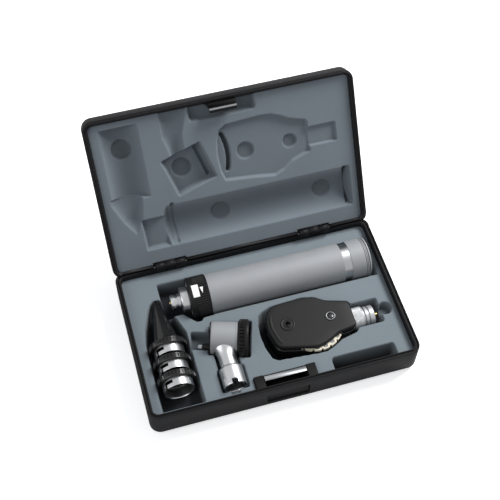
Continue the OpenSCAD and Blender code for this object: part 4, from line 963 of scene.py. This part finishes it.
# Brow rest: a low ridge inside the outline at the eye end, a half ellipse across that tapers to its ends
def browRidge():
    inset, insetEnd, height, sink = valuesOf(brow, "inset insetEnd height sink")
    around = np.arctan2(outlinePoints[:, 1] - eyeAt[1], -(outlinePoints[:, 0] + brow["turnX"]))
    order = np.argsort(around)
    keep = order[(around[order] > brow["from"]) & (around[order] < brow["to"])]
    path, inner = outlinePoints[keep], inwards[keep]
    t = np.linspace(0, 1, len(keep))
    taper = np.minimum(eased(t / brow["taper"]), eased((1 - t) / brow["taper"]))
    width = brow["narrowest"] + (1 - brow["narrowest"]) * taper
    u = np.linspace(-1, 1, brow["columns"])
    across = (inset + insetEnd) / 2 + (insetEnd - inset) / 2 * u[None, :] * width[:, None]
    xy = path[:, None, :] + across[..., None] * inner[:, None, :] + viewCentre
    z = viewAt["face"] - sink + (sink + height) * taper[:, None] * np.sqrt(np.maximum(1 - u[None, :] ** 2, 0))
    top = np.concatenate([xy, z[..., None]], -1)
    floor = top[:, ::-1].copy()
    floor[..., 2] = viewAt["face"] - sink - brow["floor"]
    points = np.concatenate([top, floor], 1)
    row = 2 * brow["columns"]
    ends = [list(range(row)), list(range(row * (len(keep) - 1), row * len(keep)))]
    faces = gridFaces(len(keep), row, False, True).tolist() + ends
    obj = meshPiece("browRidge", points, faces, "viewer", softRubber, ["brow_rest"])
    return sharpen(pointOutwards(obj), 50)


browRidge()

# Neck of the ophthalmoscope: a collar with crossed knurls, and the rings behind it
collar = {"x": 61.7, "y": -17.2, "z": 13.7, "bore": 1.3, "outer": 8.6, "between": 6.7, "ring": 7.6,
          "end": 16.4, "ridges": 52, "ridgeDepth": 0.3, "slant": 1.6, "ridgeStart": 0.5, "ridgeEnd": 7.8,
          "stepsPerRidge": 6}


def collarRelief(s, a):
    g = collar
    turn, slide = a * g["ridges"] / 2, g["slant"] * s
    wave = np.abs(np.sin(turn + slide)) * np.abs(np.sin(turn - slide))
    return -g["ridgeDepth"] * wave * bandMask(s, g["ridgeStart"], g["ridgeEnd"], 0.3)


def collarProfile():
    bore, outer, between, ring, end = valuesOf(collar, "bore outer between ring end")
    foot = finer([(0, bore), (0, 8.1), (0.15, 8.45), (0.5, outer)], 2)
    knurled = finer([(0.5, outer), (7.7, outer)], 0.22)
    rings = finer([(7.7, outer), (8.1, 8.4), (8.2, between), (9.4, between), (9.6, 6.8), (9.6, 7.4),
                   (9.8, ring), (11.6, ring), (11.8, 7.4), (11.8, between), (12.8, between), (12.8, 7.4),
                   (13.0, ring), (16.1, ring), (end, 7.3), (end, bore)], 1.5)
    return foot + knurled[1:] + rings[1:]


turned("viewerNeck", (collar["x"], collar["y"], collar["z"]), alongX, collarProfile(), "viewer", knurledMetal,
       ["viewer_collar"], collar["ridges"] * collar["stepsPerRidge"], collarRelief)

# Lens wheel: what shows of it is a toothed rim in the slot
wheel = {"y": -1.5, "low": 19.56, "thick": 2.3, "inner": 20.3, "chamfered": 21.2, "outer": 21.45,
         "chamfer": 0.25, "teeth": 40, "toothDepth": 0.95, "stepsPerTooth": 14}


# Rim: rows are (height, radius, share of the tooth), and a tooth's cut follows the cosine of the angle
def toothedRim():
    g = wheel
    steps = g["teeth"] * g["stepsPerTooth"]
    a = np.linspace(0, 2 * math.pi, steps, endpoint=False)
    cut = g["toothDepth"] * eased((np.cos(a * g["teeth"]) + 0.3) / 0.6)
    section = [(0.0, g["inner"], 0.0), (0.0, g["chamfered"], 1.0), (g["chamfer"], g["outer"], 1.0),
               (g["thick"] - g["chamfer"], g["outer"], 1.0), (g["thick"], g["chamfered"], 1.0),
               (g["thick"], g["inner"], 0.0)]
    rows = []
    for s, radius, share in section:
        r = radius - share * cut
        rows.append(np.stack([viewAt["x"] + r * np.cos(a), viewAt["y"] + g["y"] + r * np.sin(a),
                              np.full(steps, g["low"] + s)], -1))
    faces = gridFaces(len(rows), steps, True, True)
    obj = meshPiece("toothedRim", np.stack(rows), faces, "wheel", wheelCream)
    return sharpen(pointOutwards(obj), 40)


toothedRim()
print("ophthalmoscope head made")

# Camera at the photograph's viewing angle
view = {"place": (-0.11083, -0.33309, 0.63695), "turn": (33.508, -0.4195, -15.9345), "lens": 69.886,
        "sensor": 36.0, "near": 0.01, "far": 20.0}
cam = bpy.data.objects.new("photoCamera", bpy.data.cameras.new("photoCamera"))
scene.collection.objects.link(cam)
cam.location = view["place"]
cam.rotation_euler = [math.radians(angle) for angle in view["turn"]]
cam.data.sensor_width = view["sensor"]
cam.data.lens = view["lens"]
cam.data.clip_start, cam.data.clip_end = view["near"], view["far"]
scene.camera = cam

# Lamps are (place, size, power); around is the strength of the world on matt surfaces
lighting = {"key": ((0.55, 0.25, 0.75), 0.35, 11.0), "fill": ((-0.7, -0.2, 0.6), 0.6, 2.4), "around": 0.38,
            "target": (0, 0.03, 0.03)}


# A square softbox turned to face the case
def areaLight(name, location, size, power):
    data = bpy.data.lights.new(name, "AREA")
    data.shape, data.size, data.energy = "SQUARE", size, power
    obj = bpy.data.objects.new(name, data)
    scene.collection.objects.link(obj)
    obj.location = location
    d = np.array(lighting["target"], float) - np.array(location, float)
    tilt, turn = math.atan2(math.hypot(d[0], d[1]), -d[2]), math.atan2(d[1], d[0]) - math.pi / 2
    obj.rotation_euler = (tilt, 0.0, turn)


areaLight("keySoftbox", *lighting["key"])
areaLight("fillSoftbox", *lighting["fill"])


# World: a soft grey for matt surfaces, white for the camera, gloss and glass
def studioWorld():
    world = bpy.data.worlds.new("studio")
    scene.world = world
    world.use_nodes = True
    nodes, link = world.node_tree.nodes, world.node_tree.links.new
    nodes.clear()
    result, mixer = nodes.new("ShaderNodeOutputWorld"), nodes.new("ShaderNodeMixShader")
    path = nodes.new("ShaderNodeLightPath")
    soft, white = nodes.new("ShaderNodeBackground"), nodes.new("ShaderNodeBackground")
    soft.inputs["Color"].default_value = (0.93, 0.96, 1.0, 1)
    soft.inputs["Strength"].default_value = lighting["around"]
    white.inputs["Color"].default_value = (1, 1, 1, 1)
    white.inputs["Strength"].default_value = 1.0
    either, seen = nodes.new("ShaderNodeMath"), nodes.new("ShaderNodeMath")
    either.operation, seen.operation = "MAXIMUM", "MAXIMUM"
    link(path.outputs["Is Camera Ray"], either.inputs[0])
    link(path.outputs["Is Glossy Ray"], either.inputs[1])
    link(either.outputs[0], seen.inputs[0])
    link(path.outputs["Is Transmission Ray"], seen.inputs[1])
    link(seen.outputs[0], mixer.inputs[0])
    link(soft.outputs[0], mixer.inputs[1])
    link(white.outputs[0], mixer.inputs[2])
    link(mixer.outputs[0], result.inputs["Surface"])


studioWorld()

# Floor: pale, with a glow that only the camera sees
floorPlane = {"half": 3000, "z": -0.3, "glow": 0.55}


def paleFloor():
    made = bpy.data.materials.new("paleFloor")
    made.use_nodes = True
    nodes, link = made.node_tree.nodes, made.node_tree.links.new
    shader = nodes["Principled BSDF"]
    shader.inputs["Base Color"].default_value = (0.9, 0.9, 0.9, 1)
    shader.inputs["Roughness"].default_value = 0.9
    shader.inputs["Emission Color"].default_value = (1, 1, 1, 1)
    path, glow = nodes.new("ShaderNodeLightPath"), nodes.new("ShaderNodeMath")
    glow.operation = "MULTIPLY"
    glow.inputs[1].default_value = floorPlane["glow"]
    link(path.outputs["Is Camera Ray"], glow.inputs[0])
    link(glow.outputs[0], shader.inputs["Emission Strength"])
    half, z = floorPlane["half"], floorPlane["z"]
    corners = [(-half, -half, z), (half, -half, z), (half, half, z), (-half, half, z)]
    meshPiece("paleFloor", corners, [(0, 1, 2, 3)], None, made)


paleFloor()
scene.view_settings.view_transform = "Standard"
print("stage set")
